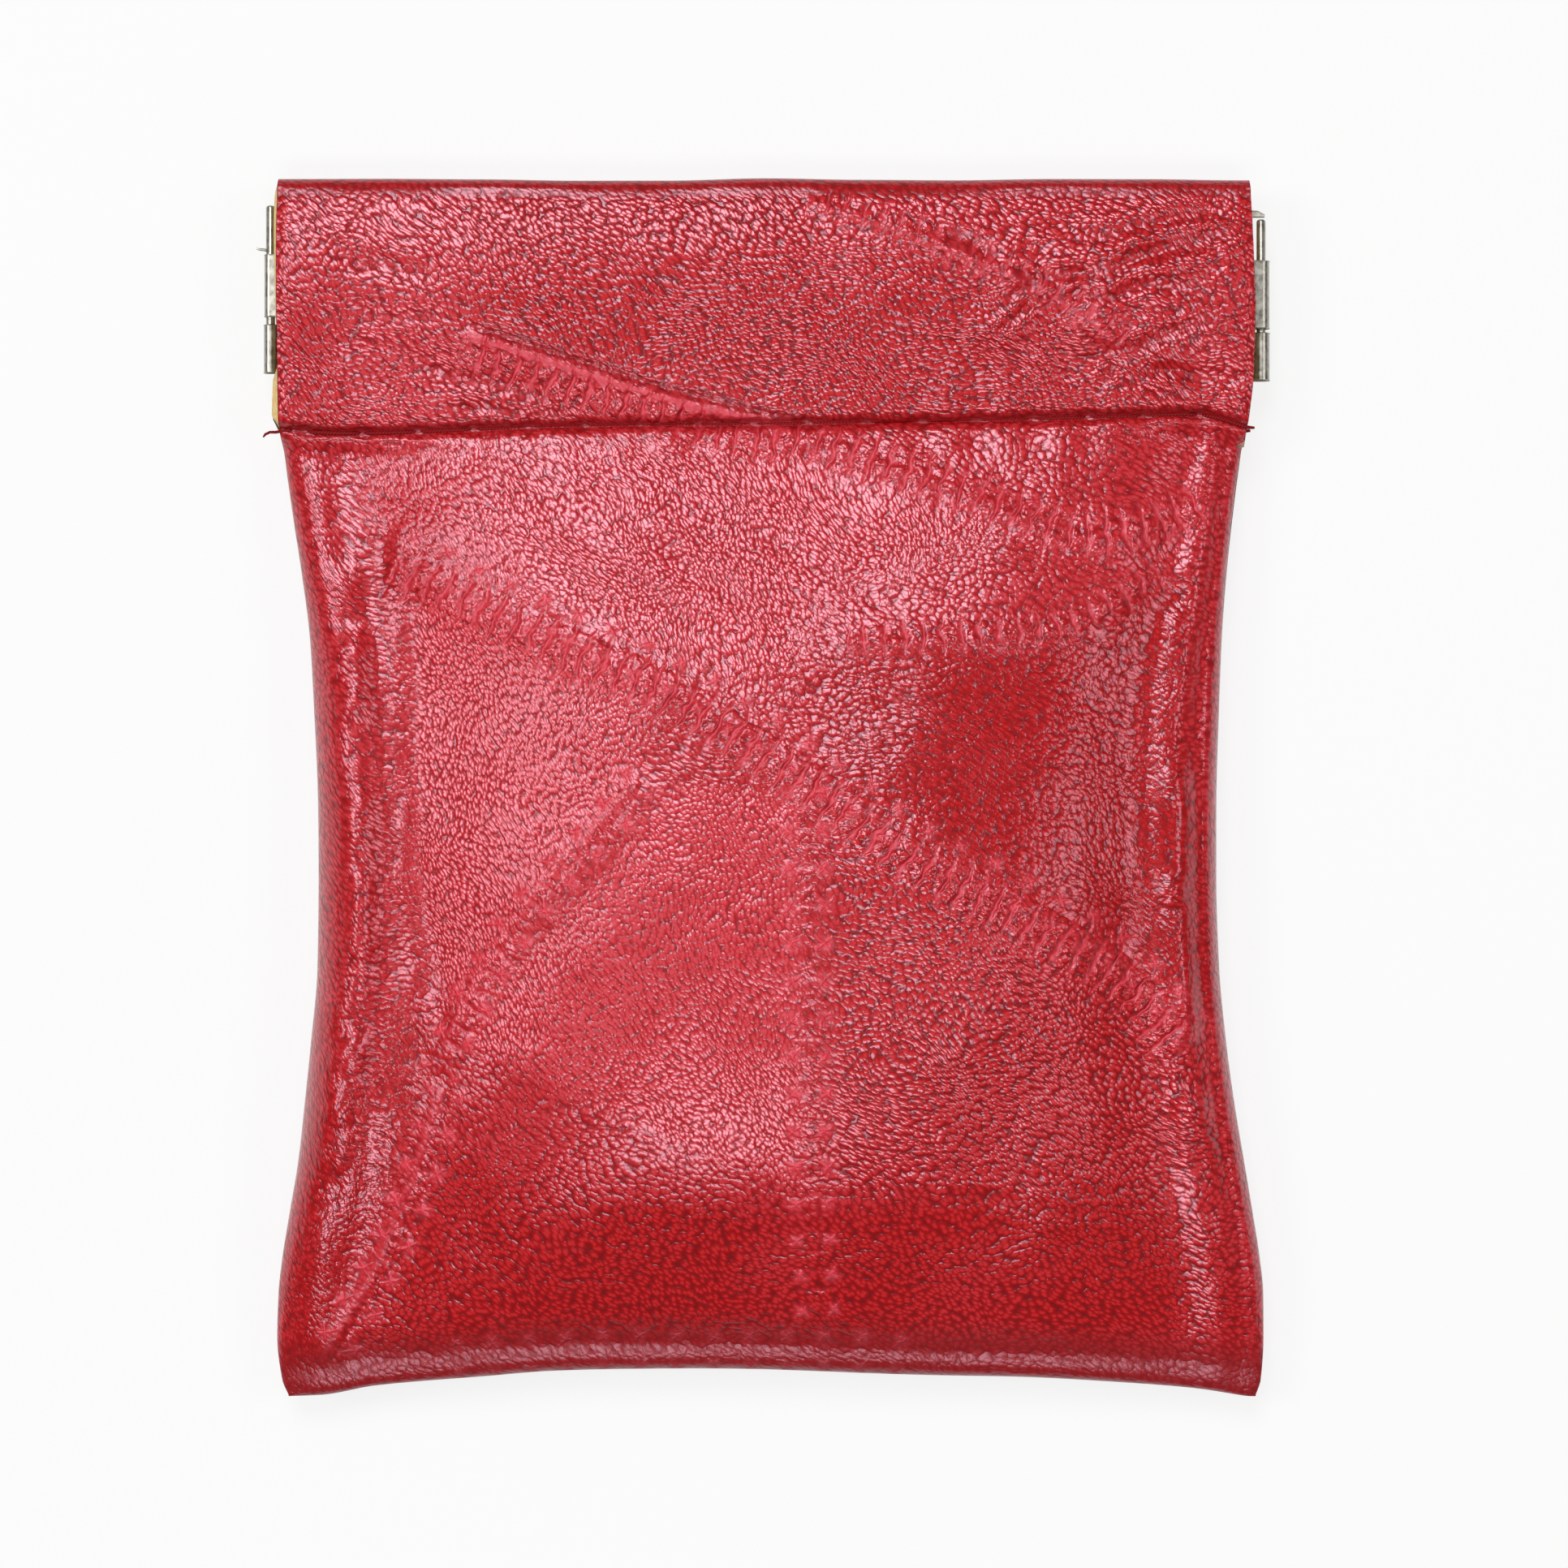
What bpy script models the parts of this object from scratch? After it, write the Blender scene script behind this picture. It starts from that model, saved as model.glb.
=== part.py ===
"""Coin wallet that opens when its ends are squeezed, closed and lying on its back.

X runs to the right, Y from the bottom seam towards the mouth, Z out of the front. The origin is under the
middle of the outline. Below, v is a height above the bottom corners and depth is a distance from the
parting plane, where the front and the back halves meet. All the fold lines lie in that plane.
"""

import math

import bmesh
import bpy
from mathutils import Matrix, Vector

MM = 0.001

# Whole wallet
HEIGHT = 96.0 * MM
CUFF_HALF_WIDTH = 38.45 * MM
BACK_DEPTH = 4.0 * MM
BACK_SWELL = 5.4 * MM
FRONT_DEPTH = 9.0 * MM
GAP = 0.3 * MM
OVERRUN = 5.0 * MM

# Leather outline: how far its sides draw in from the cuff's ends, and the heights where they do
LEATHER = 0.8 * MM
CUFF_HEIGHT = 19.5 * MM
VALLEY_TUCK = 0.35 * MM
WAIST_DRAW = 3.05 * MM
WAIST_V = 45.0 * MM
CORNER_INSIDE_PIN = 0.45 * MM
CORNER_V = 5.0 * MM
CORNER_ROUNDING = 1.4 * MM
BOTTOM_RISE = 2.7 * MM
HEM_BELOW_STITCH = 1.5 * MM
HEM_STEP = 0.4 * MM
VALLEY_SLACK = 0.25 * MM
VALLEY_HALF_HEIGHT = 2.0 * MM
CUFF_TAPER = 7.0 * MM
CORNER_TAB = 8.0 * MM

# Spring strips, their knuckles and pins
PIN_OUTSIDE_CUFF = 0.75 * MM
STRIP_THICKNESS = 0.4 * MM
STRIP_ABOVE_STITCH = 3.8 * MM
STRIP_TOP_DROP = 2.1 * MM
LINKS = 5
CHANNEL_ABOVE_STITCH = 1.3 * MM
CHANNEL_TOP_WALL = 1.0 * MM
PIN_RADIUS = 0.37 * MM
PIN_CLEARANCE = 0.08 * MM
KNUCKLE_WALL = 0.35 * MM
PIN_BOTTOM_INSET = 0.2 * MM
PIN_TOP_DROP = 0.9 * MM
LOW_KNUCKLE = 3.8 * MM
MIDDLE_KNUCKLE_DROP = 4.1 * MM
TAB_THICKNESS = 0.6 * MM
TAB_REACH = 0.4 * MM
LEAF_BEND_IN = 2.9 * MM
LEAF_BEND_OUT = 1.2 * MM
LEAF_END = 1.3 * MM
TONGUE_DEPTH = 0.55 * MM

# Threads
THREAD_RADIUS = 0.2 * MM
STITCH_PITCH = 4.4 * MM
STITCH_DIP = 0.1 * MM
SEAM_THREAD_INSET = 0.5 * MM
SIDE_THREAD_LOW = 20.0 * MM
SIDE_THREAD_BELOW_STITCH = 5.0 * MM
BOTTOM_THREAD_IN = 5.5 * MM
SEAM_THREAD_STEP = 4.5 * MM

# Shape laws, and how finely the surfaces are divided
PEAK_SHARE = 0.3
FRONT_FULLNESS = 0.9
BACK_FULLNESS = 0.5
FOOT_POWER = 2.2
FOOT_FULLNESS = 0.6
CROWN_POWER = 3.0
WAIST_EASE = 0.7
BOTTOM_EASE = 0.7
HALF_COLUMNS = 11
BELLY_ROWS = 14
FOLD_ROWS = 4
ROUND_SIDES = 20

# Widths, heights and depths that follow
PIN_AXIS_X = CUFF_HALF_WIDTH + PIN_OUTSIDE_CUFF
VALLEY_HALF_WIDTH = CUFF_HALF_WIDTH - VALLEY_TUCK
WAIST_HALF_WIDTH = CUFF_HALF_WIDTH - WAIST_DRAW
CORNER_HALF_WIDTH = PIN_AXIS_X - CORNER_INSIDE_PIN
BOTTOM_HALF_WIDTH = CORNER_HALF_WIDTH - CORNER_ROUNDING
STITCH_V = HEIGHT - CUFF_HEIGHT
HEM_V = STITCH_V - HEM_BELOW_STITCH
PARTING = GAP / 2
SEAM_DEPTH = PARTING + LEATHER
CHANNEL_DEPTH = STRIP_THICKNESS + 2 * GAP
CUFF_DEPTH = SEAM_DEPTH + CHANNEL_DEPTH + LEATHER
VALLEY_DEPTH = SEAM_DEPTH + LEATHER + VALLEY_SLACK
STRIP_DEPTH = SEAM_DEPTH + CHANNEL_DEPTH / 2
STRIP_TOP = HEIGHT - STRIP_TOP_DROP
STRIP_LOW = STITCH_V + STRIP_ABOVE_STITCH
STRIP_MIDDLE = (STRIP_TOP + STRIP_LOW) / 2
FOLD_RADIUS = (CUFF_DEPTH - PARTING) / 2
BORE_RADIUS = PIN_RADIUS + PIN_CLEARANCE
KNUCKLE_RADIUS = BORE_RADIUS + KNUCKLE_WALL
MIDDLE_KNUCKLE_LOW = STRIP_LOW + LOW_KNUCKLE + GAP
MIDDLE_KNUCKLE_TOP = STRIP_TOP - MIDDLE_KNUCKLE_DROP
LINK = 2 * PIN_AXIS_X / LINKS

FACES = {"front": 1, "back": -1}
SIDES = {"left": -1, "right": 1}
BODY_PARENTS = {
    "back_mid": None,
    "back_left_inner": "back_mid",
    "back_left_outer": "back_left_inner",
    "front_left_outer": "back_left_outer",
    "front_left_inner": "front_left_outer",
    "front_left_mid": "front_left_inner",
    "back_right_inner": "back_mid",
    "back_right_outer": "back_right_inner",
    "front_right_outer": "back_right_outer",
    "front_right_inner": "front_right_outer",
    "front_right_mid": "front_right_inner",
}


def clear_scene():
    for old in list(bpy.data.objects):
        bpy.data.objects.remove(old, do_unlink=True)


def material(name, colour, roughness, metallic):
    made = bpy.data.materials.new(name)
    made.use_nodes = True
    shader = made.node_tree.nodes["Principled BSDF"]
    shader.inputs["Base Color"].default_value = (*colour, 1.0)
    shader.inputs["Roughness"].default_value = roughness
    shader.inputs["Metallic"].default_value = metallic
    made.diffuse_color = (*colour, 1.0)
    return made


def smooth(value):
    value = min(max(value, 0.0), 1.0)
    return value * value * (3 - 2 * value)


def mix(first, second, share):
    return first + (second - first) * share


def world(face, x, v, depth):
    """The point in space of a place on one half."""
    return Vector((x, v - HEIGHT / 2, BACK_DEPTH + FACES[face] * depth))


def pivot(body):
    """All fold lines of a side meet at that side's bottom corner."""
    if body == "back_mid":
        return Vector((0, 0, 0))
    side = SIDES["left" if "left" in body else "right"]
    return world("front", side * PIN_AXIS_X, 0, 0)


# Leather outline and surfaces

def side_x(v):
    """Half width of the leather at a height: round corner, drawn-in waist, straight cuff."""
    if v < CORNER_V:
        return CORNER_HALF_WIDTH - CORNER_ROUNDING * (1 - v / CORNER_V) ** 3
    if v < WAIST_V:
        share = ((v - CORNER_V) / (WAIST_V - CORNER_V)) ** WAIST_EASE
        return mix(CORNER_HALF_WIDTH, WAIST_HALF_WIDTH, (1 - math.cos(math.pi * share)) / 2)
    if v < STITCH_V:
        share = (v - WAIST_V) / (STITCH_V - WAIST_V)
        return mix(WAIST_HALF_WIDTH, VALLEY_HALF_WIDTH, share**2)
    return mix(VALLEY_HALF_WIDTH, CUFF_HALF_WIDTH, smooth((v - STITCH_V) / VALLEY_HALF_HEIGHT))


def bottom_v(x):
    """The bottom edge rises a little between the corners."""
    inside = max(0.0, 1 - (x / BOTTOM_HALF_WIDTH) ** 2)
    return BOTTOM_RISE * inside**BOTTOM_EASE


def belly(v, low, fullness):
    """Share of the swell at a height, from the bottom edge to the stitch line."""
    share = (v - low) / (STITCH_V - low)
    if share <= 0 or share >= 1:
        return 0.0
    if share < PEAK_SHARE:
        return (1 - (1 - share / PEAK_SHARE) ** FOOT_POWER) ** FOOT_FULLNESS
    return (1 - ((share - PEAK_SHARE) / (1 - PEAK_SHARE)) ** 2) ** fullness


def crown(share):
    return math.sqrt(max(0.0, 1 - abs(share) ** CROWN_POWER))


def swollen(face, x, v, inset):
    """Depth of the leather's surface below the stitch line, inset from its outer face."""
    flat = mix(SEAM_DEPTH, VALLEY_DEPTH, smooth((v - STITCH_V + CUFF_TAPER) / CUFF_TAPER)) - inset
    depth, fullness = (FRONT_DEPTH, FRONT_FULLNESS) if face == "front" else (BACK_SWELL, BACK_FULLNESS)
    rise = belly(v, bottom_v(x) + inset, fullness) * crown(min(1.0, abs(x) / (side_x(v) - inset)))
    swell = flat + (depth - inset - flat) * rise
    return swell if face == "front" else min(swell, BACK_DEPTH - inset)


def outer_depth(face, x, v):
    fold = HEIGHT - FOLD_RADIUS
    middle = PARTING + FOLD_RADIUS
    if v > fold:
        return middle + math.sqrt(max(0.0, FOLD_RADIUS**2 - (v - fold) ** 2))
    if v > STITCH_V:
        return mix(VALLEY_DEPTH, CUFF_DEPTH, smooth((v - STITCH_V) / VALLEY_HALF_HEIGHT))
    return swollen(face, x, v, 0.0)


def inner_depth(face, x, v):
    fold = HEIGHT - FOLD_RADIUS
    if v > fold:
        return 2 * (PARTING + FOLD_RADIUS) - outer_depth(face, x, v)
    if v >= HEM_V:
        return PARTING
    return max(PARTING, swollen(face, x, v, LEATHER))


def row_heights(low):
    """Heights of the mesh rows over one column: close at the bottom, the hem, the valley and the fold."""
    rows = [mix(low, HEM_V - HEM_STEP, (1 - math.cos(math.pi * step / BELLY_ROWS)) / 2)
            for step in range(BELLY_ROWS + 1)]
    rows += [HEM_V, STITCH_V, STITCH_V + VALLEY_HALF_HEIGHT / 2, STITCH_V + VALLEY_HALF_HEIGHT]
    rows += [HEIGHT - FOLD_RADIUS + FOLD_RADIUS * math.sin(math.pi / 2 * step / FOLD_ROWS)
             for step in range(FOLD_ROWS)]
    return rows


def mesh_object(name, vertices, faces):
    mesh = bpy.data.meshes.new(name)
    mesh.from_pydata(vertices, [], faces)
    shaped = bmesh.new()
    shaped.from_mesh(mesh)
    bmesh.ops.remove_doubles(shaped, verts=shaped.verts, dist=GAP / 100)
    bmesh.ops.recalc_face_normals(shaped, faces=shaped.faces)
    shaped.to_mesh(mesh)
    shaped.free()
    made = bpy.data.objects.new(name, mesh)
    bpy.context.collection.objects.link(made)
    return made


def hidden(shape):
    shape.hide_render = True
    shape.display_type = "WIRE"
    return shape


def leather_shell(face):
    """One half of the leather as a closed grid solid, with the top folded over to the parting plane."""
    vertices = []
    columns = 2 * HALF_COLUMNS + 1
    for column in range(columns):
        share = math.sin(math.pi / 2 * (column - HALF_COLUMNS) / HALF_COLUMNS)
        for v in row_heights(bottom_v(share * CORNER_HALF_WIDTH)):
            x = share * side_x(v)
            vertices.append((x, v, outer_depth(face, x, v)))
            vertices.append((x, v, inner_depth(face, x, v)))
        ridge = share * side_x(HEIGHT)
        vertices.append((ridge, HEIGHT, PARTING + FOLD_RADIUS))
        vertices.append((ridge, HEIGHT, PARTING + FOLD_RADIUS))
    rows = len(vertices) // columns // 2

    def index(column, row, layer):
        return (column * rows + row) * 2 + layer

    faces = []
    for column in range(columns - 1):
        for row in range(rows - 1):
            for layer in (0, 1):
                faces.append([index(column, row, layer), index(column + 1, row, layer),
                              index(column + 1, row + 1, layer), index(column, row + 1, layer)])
        faces.append([index(column, 0, 0), index(column + 1, 0, 0),
                      index(column + 1, 0, 1), index(column, 0, 1)])
    for column in (0, columns - 1):
        for row in range(rows - 1):
            faces.append([index(column, row, 0), index(column, row + 1, 0),
                          index(column, row + 1, 1), index(column, row, 1)])
    places = [world(face, *vertex) for vertex in vertices]
    return hidden(mesh_object(face + "_shell", places, faces))


# Solids made from outlines

def prism(name, outline, low, high):
    """A closed solid between two copies of an outline, each made by the outline's function."""
    count = len(outline)
    vertices = [low(point) for point in outline] + [high(point) for point in outline]
    faces = [list(range(count)), list(range(count, 2 * count))]
    for here in range(count):
        after = (here + 1) % count
        faces.append([here, after, count + after, count + here])
    return mesh_object(name, vertices, faces)


def plan_prism(name, face, outline, near, far):
    """An outline in x and v, extruded between two depths."""
    return prism(name, outline,
                 lambda point: world(face, point[0], point[1], near),
                 lambda point: world(face, point[0], point[1], far))


def section_prism(name, face, outline, low, high):
    """An outline in x and depth, extruded between two heights."""
    return prism(name, outline,
                 lambda point: world(face, point[0], low, point[1]),
                 lambda point: world(face, point[0], high, point[1]))


def circle(x, radius):
    steps = [2 * math.pi * (step + 0.5) / ROUND_SIDES for step in range(ROUND_SIDES)]
    return [(x + radius * math.cos(angle), radius * math.sin(angle)) for angle in steps]


def boolean(shape, operation, other):
    cut = shape.modifiers.new(operation.lower(), "BOOLEAN")
    cut.operation = operation
    cut.solver = "EXACT"
    cut.object = hidden(other)


def fold_x(side, fold, v):
    """Where a fold line crosses a height: fold 0 is the pin's axis, 1 and 2 fan out from the same corner."""
    return SIDES[side] * (PIN_AXIS_X - fold * LINK * v / STRIP_MIDDLE)


def borders(body):
    """The two folds at a body's edges, as x at a height; the middle of the front is parted at x = 0."""
    if body == "back_mid":
        return (lambda v: fold_x("left", 2, v) + PARTING), (lambda v: fold_x("right", 2, v) - PARTING)
    _, side, link = body.split("_")
    towards = SIDES[side]
    outer_fold = {"outer": 0, "inner": 1, "mid": 2}[link]

    def outside(v):
        reach = OVERRUN if outer_fold == 0 else -PARTING
        return fold_x(side, outer_fold, v) + towards * reach

    def inside(v):
        return towards * PARTING if link == "mid" else fold_x(side, outer_fold + 1, v) + towards * PARTING

    return (outside, inside) if side == "left" else (inside, outside)


def facet_outline(body):
    """Outline in x and v of the leather that belongs to a body. The middle ones keep the bottom corners."""
    left, right = borders(body)
    top = HEIGHT + OVERRUN
    if not body.endswith("mid"):
        low = CORNER_TAB + PARTING
        return [(left(low), low), (right(low), low), (right(top), top), (left(top), top)]
    tab = CORNER_TAB - PARTING
    wide = PIN_AXIS_X + OVERRUN
    left_foot = [(left(tab), tab), (-wide, tab), (-wide, -OVERRUN)]
    right_foot = [(wide, -OVERRUN), (wide, tab), (right(tab), tab)]
    if "right" in body:
        left_foot = [(left(0), -OVERRUN)]
    if "left" in body:
        right_foot = [(right(0), -OVERRUN)]
    return [(left(top), top)] + left_foot + right_foot + [(right(top), top)]


# The wallet's pieces

def make_leather(body, shell, look):
    """One stretch of a leather half, with the cuff's channel and the cut-back hem at the hinge."""
    face = body.split("_")[0]
    facet = bpy.data.objects.new(leather_name(body), shell.data.copy())
    bpy.context.collection.objects.link(facet)
    boolean(facet, "INTERSECT",
            plan_prism(facet.name + "_cutter", face, facet_outline(body), -OVERRUN, FRONT_DEPTH + OVERRUN))
    wide = PIN_AXIS_X + OVERRUN
    channel_low = STITCH_V + CHANNEL_ABOVE_STITCH
    channel_top = HEIGHT - CHANNEL_TOP_WALL
    channel = [(-wide, channel_low), (wide, channel_low), (wide, channel_top), (-wide, channel_top)]
    boolean(facet, "DIFFERENCE",
            plan_prism(facet.name + "_channel", face, channel, SEAM_DEPTH, SEAM_DEPTH + CHANNEL_DEPTH))
    if body.endswith("outer"):
        towards = SIDES[body.split("_")[1]]
        start = towards * (PIN_AXIS_X - LEAF_BEND_IN - GAP)
        end = towards * wide
        low = STRIP_LOW - GAP
        high = STRIP_TOP + GAP
        notch = [(start, low), (end, low), (end, high), (start, high)]
        boolean(facet, "DIFFERENCE",
                plan_prism(facet.name + "_notch", face, notch, -GAP, STRIP_DEPTH))
    return finish_piece(facet, body, look)


def make_strip(body, look):
    """A flat link of a spring strip, as high as the strip and as long as the body between its folds."""
    face = body.split("_")[0]
    left, right = borders(body)
    outline = [(left(STRIP_LOW), STRIP_LOW), (right(STRIP_LOW), STRIP_LOW),
               (right(STRIP_TOP), STRIP_TOP), (left(STRIP_TOP), STRIP_TOP)]
    half = STRIP_THICKNESS / 2
    link = plan_prism(strip_name(body), face, outline, STRIP_DEPTH - half, STRIP_DEPTH + half)
    return finish_piece(link, body, look)


def make_strip_end(body, look):
    """The end link: the leaf bends in to the pin and rolls into its knuckle."""
    face, side, _ = body.split("_")
    towards = SIDES[side]
    half = STRIP_THICKNESS / 2
    pin = towards * PIN_AXIS_X
    path = [(towards * (PIN_AXIS_X - LEAF_BEND_IN), STRIP_DEPTH),
            (towards * (PIN_AXIS_X - LEAF_BEND_OUT), TONGUE_DEPTH),
            (pin, TONGUE_DEPTH)]

    def leaf_section(v):
        inner_edge = fold_x(side, 1, v) + towards * PARTING
        line = [(inner_edge, STRIP_DEPTH)] + path
        over = [(x, depth + half) for x, depth in line]
        under = [(x, depth - half) for x, depth in reversed(line)]
        return over + under

    ends = list(zip(leaf_section(STRIP_LOW), leaf_section(STRIP_TOP)))
    end_link = prism(strip_name(body), ends,
                     lambda pair: world(face, pair[0][0], STRIP_LOW, pair[0][1]),
                     lambda pair: world(face, pair[1][0], STRIP_TOP, pair[1][1]))
    if face == "front":
        knuckles = [(MIDDLE_KNUCKLE_LOW, MIDDLE_KNUCKLE_TOP)]
        windows = [(STRIP_LOW - OVERRUN, MIDDLE_KNUCKLE_LOW), (MIDDLE_KNUCKLE_TOP, STRIP_TOP + OVERRUN)]
    else:
        knuckles = [(STRIP_LOW, STRIP_LOW + LOW_KNUCKLE)]
        windows = [(STRIP_LOW + LOW_KNUCKLE, STRIP_TOP - TAB_THICKNESS)]
    for number, (low, high) in enumerate(windows):
        window = [(pin - towards * LEAF_END, low), (pin + towards * OVERRUN, low),
                  (pin + towards * OVERRUN, high), (pin - towards * LEAF_END, high)]
        name = "%s_window_%d" % (end_link.name, number)
        boolean(end_link, "DIFFERENCE", plan_prism(name, face, window, -OVERRUN, OVERRUN))
    for low, high in knuckles:
        roll = section_prism(end_link.name + "_roll", face, circle(pin, KNUCKLE_RADIUS), low, high)
        boolean(end_link, "UNION", roll)
        bore = section_prism(end_link.name + "_bore", face, circle(pin, BORE_RADIUS),
                             low - TAB_THICKNESS, high + TAB_THICKNESS)
        boolean(end_link, "DIFFERENCE", bore)
    if face == "back":
        inside = pin - towards * KNUCKLE_RADIUS / 2
        outside = pin + towards * KNUCKLE_RADIUS / 2
        lip = [(inside, TONGUE_DEPTH), (outside, TONGUE_DEPTH - half), (outside, -TAB_REACH),
               (inside, -TAB_REACH)]
        tab = section_prism(end_link.name + "_lip", face, lip, STRIP_TOP - TAB_THICKNESS, STRIP_TOP)
        boolean(end_link, "UNION", tab)
    return finish_piece(end_link, body, look)


def make_pin(side, look):
    """A wire pin with a rounded top, staked in the back strip's knuckle."""
    x = SIDES[side] * PIN_AXIS_X
    low = STRIP_LOW + PIN_BOTTOM_INSET
    high = STRIP_TOP - PIN_TOP_DROP
    rings = [(PIN_RADIUS, low), (PIN_RADIUS, high - PIN_RADIUS)]
    rings += [(PIN_RADIUS * math.cos(angle), high - PIN_RADIUS + PIN_RADIUS * math.sin(angle))
              for angle in (math.pi / 6, math.pi / 3)]
    vertices = [world("front", ring_x, v, depth) for radius, v in rings for ring_x, depth in circle(x, radius)]
    count = ROUND_SIDES
    faces = [list(range(count)), list(range(len(vertices) - count, len(vertices)))]
    for ring in range(len(rings) - 1):
        for here in range(count):
            after = (here + 1) % count
            faces.append([ring * count + here, ring * count + after,
                          (ring + 1) * count + after, (ring + 1) * count + here])
    return finish_piece(mesh_object(side + "_pin", vertices, faces), "back_%s_outer" % side, look)


def make_thread(name, body, places, look):
    """Thread along a line of places in space."""
    line = bpy.data.curves.new(name, "CURVE")
    line.dimensions = "3D"
    line.bevel_depth = THREAD_RADIUS
    line.bevel_resolution = 0
    line.use_fill_caps = True
    spline = line.splines.new("POLY")
    spline.points.add(len(places) - 1)
    centre = pivot(body)
    for point, place in zip(spline.points, places):
        point.co = (*(place - centre), 1.0)
    thread = bpy.data.objects.new(name, line)
    bpy.context.collection.objects.link(thread)
    thread.data.materials.append(look)
    thread.parent = bpy.data.objects[body + "_axis"]
    return thread


def make_cuff_stitches(body, look):
    """The stitch line under the strip, along one body: it dips at each needle hole."""
    face = body.split("_")[0]
    left, right = borders(body)
    low = max(left(STITCH_V) + PARTING, -side_x(STITCH_V))
    high = min(right(STITCH_V) - PARTING, side_x(STITCH_V))
    count = 2 * max(1, round((high - low) / STITCH_PITCH))
    raised = VALLEY_DEPTH + GAP + THREAD_RADIUS + STITCH_DIP
    places = [world(face, mix(low, high, step / count), STITCH_V, raised + STITCH_DIP * (-1) ** step)
              for step in range(count + 1)]
    return make_thread(body + "_cuff_stitches", body, places, look)


def make_side_thread(side, look):
    """Thread in the inside corner of a side seam."""
    low = SIDE_THREAD_LOW
    high = STITCH_V - SIDE_THREAD_BELOW_STITCH
    count = round((high - low) / SEAM_THREAD_STEP)
    places = []
    for step in range(count + 1):
        v = mix(low, high, step / count)
        places.append(world("front", SIDES[side] * (side_x(v) - LEATHER - SEAM_THREAD_INSET), v, 0))
    return make_thread(side + "_seam_thread", "back_%s_outer" % side, places, look)


def make_bottom_thread(look):
    """Thread in the inside corner of the bottom seam."""
    wide = BOTTOM_HALF_WIDTH - BOTTOM_THREAD_IN
    count = round(2 * wide / SEAM_THREAD_STEP)
    places = []
    for step in range(count + 1):
        x = mix(-wide, wide, step / count)
        places.append(world("front", x, bottom_v(x) + LEATHER + SEAM_THREAD_INSET, 0))
    return make_thread("bottom_seam_thread", "back_mid", places, look)


# Names, parents and the whole model

def leather_name(body):
    face, rest = body.split("_", 1)
    return "%s_leather_%s" % (face, rest)


def strip_name(body):
    face, rest = body.split("_", 1)
    return "%s_strip_%s" % (face, rest)


def finish_piece(piece, body, look):
    """Gives a piece its material and puts its origin on its body's fold line."""
    piece.data.transform(Matrix.Translation(-pivot(body)))
    piece.data.materials.clear()
    piece.data.materials.append(look)
    piece.parent = bpy.data.objects[body + "_axis"]
    return piece


def make_axes():
    """One empty for each body, at the corner where its fold line starts, parented down the chain."""
    for body, parent in BODY_PARENTS.items():
        axis = bpy.data.objects.new(body + "_axis", None)
        bpy.context.collection.objects.link(axis)
        if parent is None:
            continue
        axis.parent = bpy.data.objects[parent + "_axis"]
        axis.location = pivot(body) - pivot(parent)


def build():
    clear_scene()
    leather = material("red_leather", (0.58, 0.035, 0.045), 0.38, 0.0)
    steel = material("spring_steel", (0.55, 0.54, 0.52), 0.28, 1.0)
    thread = material("red_thread", (0.30, 0.01, 0.015), 0.6, 0.0)
    make_axes()
    bpy.context.view_layer.update()
    shells = {face: leather_shell(face) for face in FACES}
    for body in BODY_PARENTS:
        make_leather(body, shells[body.split("_")[0]], leather)
        if body.endswith("outer"):
            make_strip_end(body, steel)
        else:
            make_strip(body, steel)
        make_cuff_stitches(body, thread)
    for side in SIDES:
        make_pin(side, steel)
        make_side_thread(side, thread)
    make_bottom_thread(thread)


build()
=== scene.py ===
"""Looks of the coin wallet: a red leather shell in ten stretches, its sprung hinges, its seams and threads.

Lengths are in millimetres until a mesh is made. A place on the wallet is (x, v, depth): x to the right, v up
from the bottom corners, depth out from the parting plane where the front and back halves meet.
"""

import math
from collections import namedtuple

import bmesh
import bpy
import numpy as np
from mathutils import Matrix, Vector


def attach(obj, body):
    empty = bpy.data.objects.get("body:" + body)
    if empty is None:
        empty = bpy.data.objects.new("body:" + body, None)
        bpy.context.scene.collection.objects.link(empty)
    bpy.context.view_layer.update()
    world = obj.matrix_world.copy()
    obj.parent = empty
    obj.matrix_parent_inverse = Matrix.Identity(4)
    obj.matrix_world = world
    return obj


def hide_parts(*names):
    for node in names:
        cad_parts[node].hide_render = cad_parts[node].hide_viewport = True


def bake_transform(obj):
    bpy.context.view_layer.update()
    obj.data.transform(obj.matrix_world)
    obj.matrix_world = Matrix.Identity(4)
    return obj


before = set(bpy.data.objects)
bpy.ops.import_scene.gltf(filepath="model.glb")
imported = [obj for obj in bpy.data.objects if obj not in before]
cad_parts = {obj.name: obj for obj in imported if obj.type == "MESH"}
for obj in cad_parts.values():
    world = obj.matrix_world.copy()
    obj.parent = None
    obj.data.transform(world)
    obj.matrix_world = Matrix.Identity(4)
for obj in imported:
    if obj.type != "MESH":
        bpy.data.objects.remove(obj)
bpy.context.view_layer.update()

MM = 0.001

# The photograph, 0.064 mm to a pixel at the height of the cuff, and its camera
PIXEL = 0.064
MIDDLE_PX = 943.5
FOOT_PX = 1722.0
FRAME_PX = 1932
LENS = 100.0
SENSOR = 36.0
FOCUS_Z = 5.5

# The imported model
HEIGHT = 96.0
PARTING_Z = 4.0
FACES = {"front": 1, "back": -1}
SIDES = {"left": -1, "right": 1}
PIN_X = 39.2
FAN = 0.18002
FIRST_FOLD, MIDDLE_FOLD, SECOND_FOLD = 1.0, 1.5, 2.0

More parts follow.
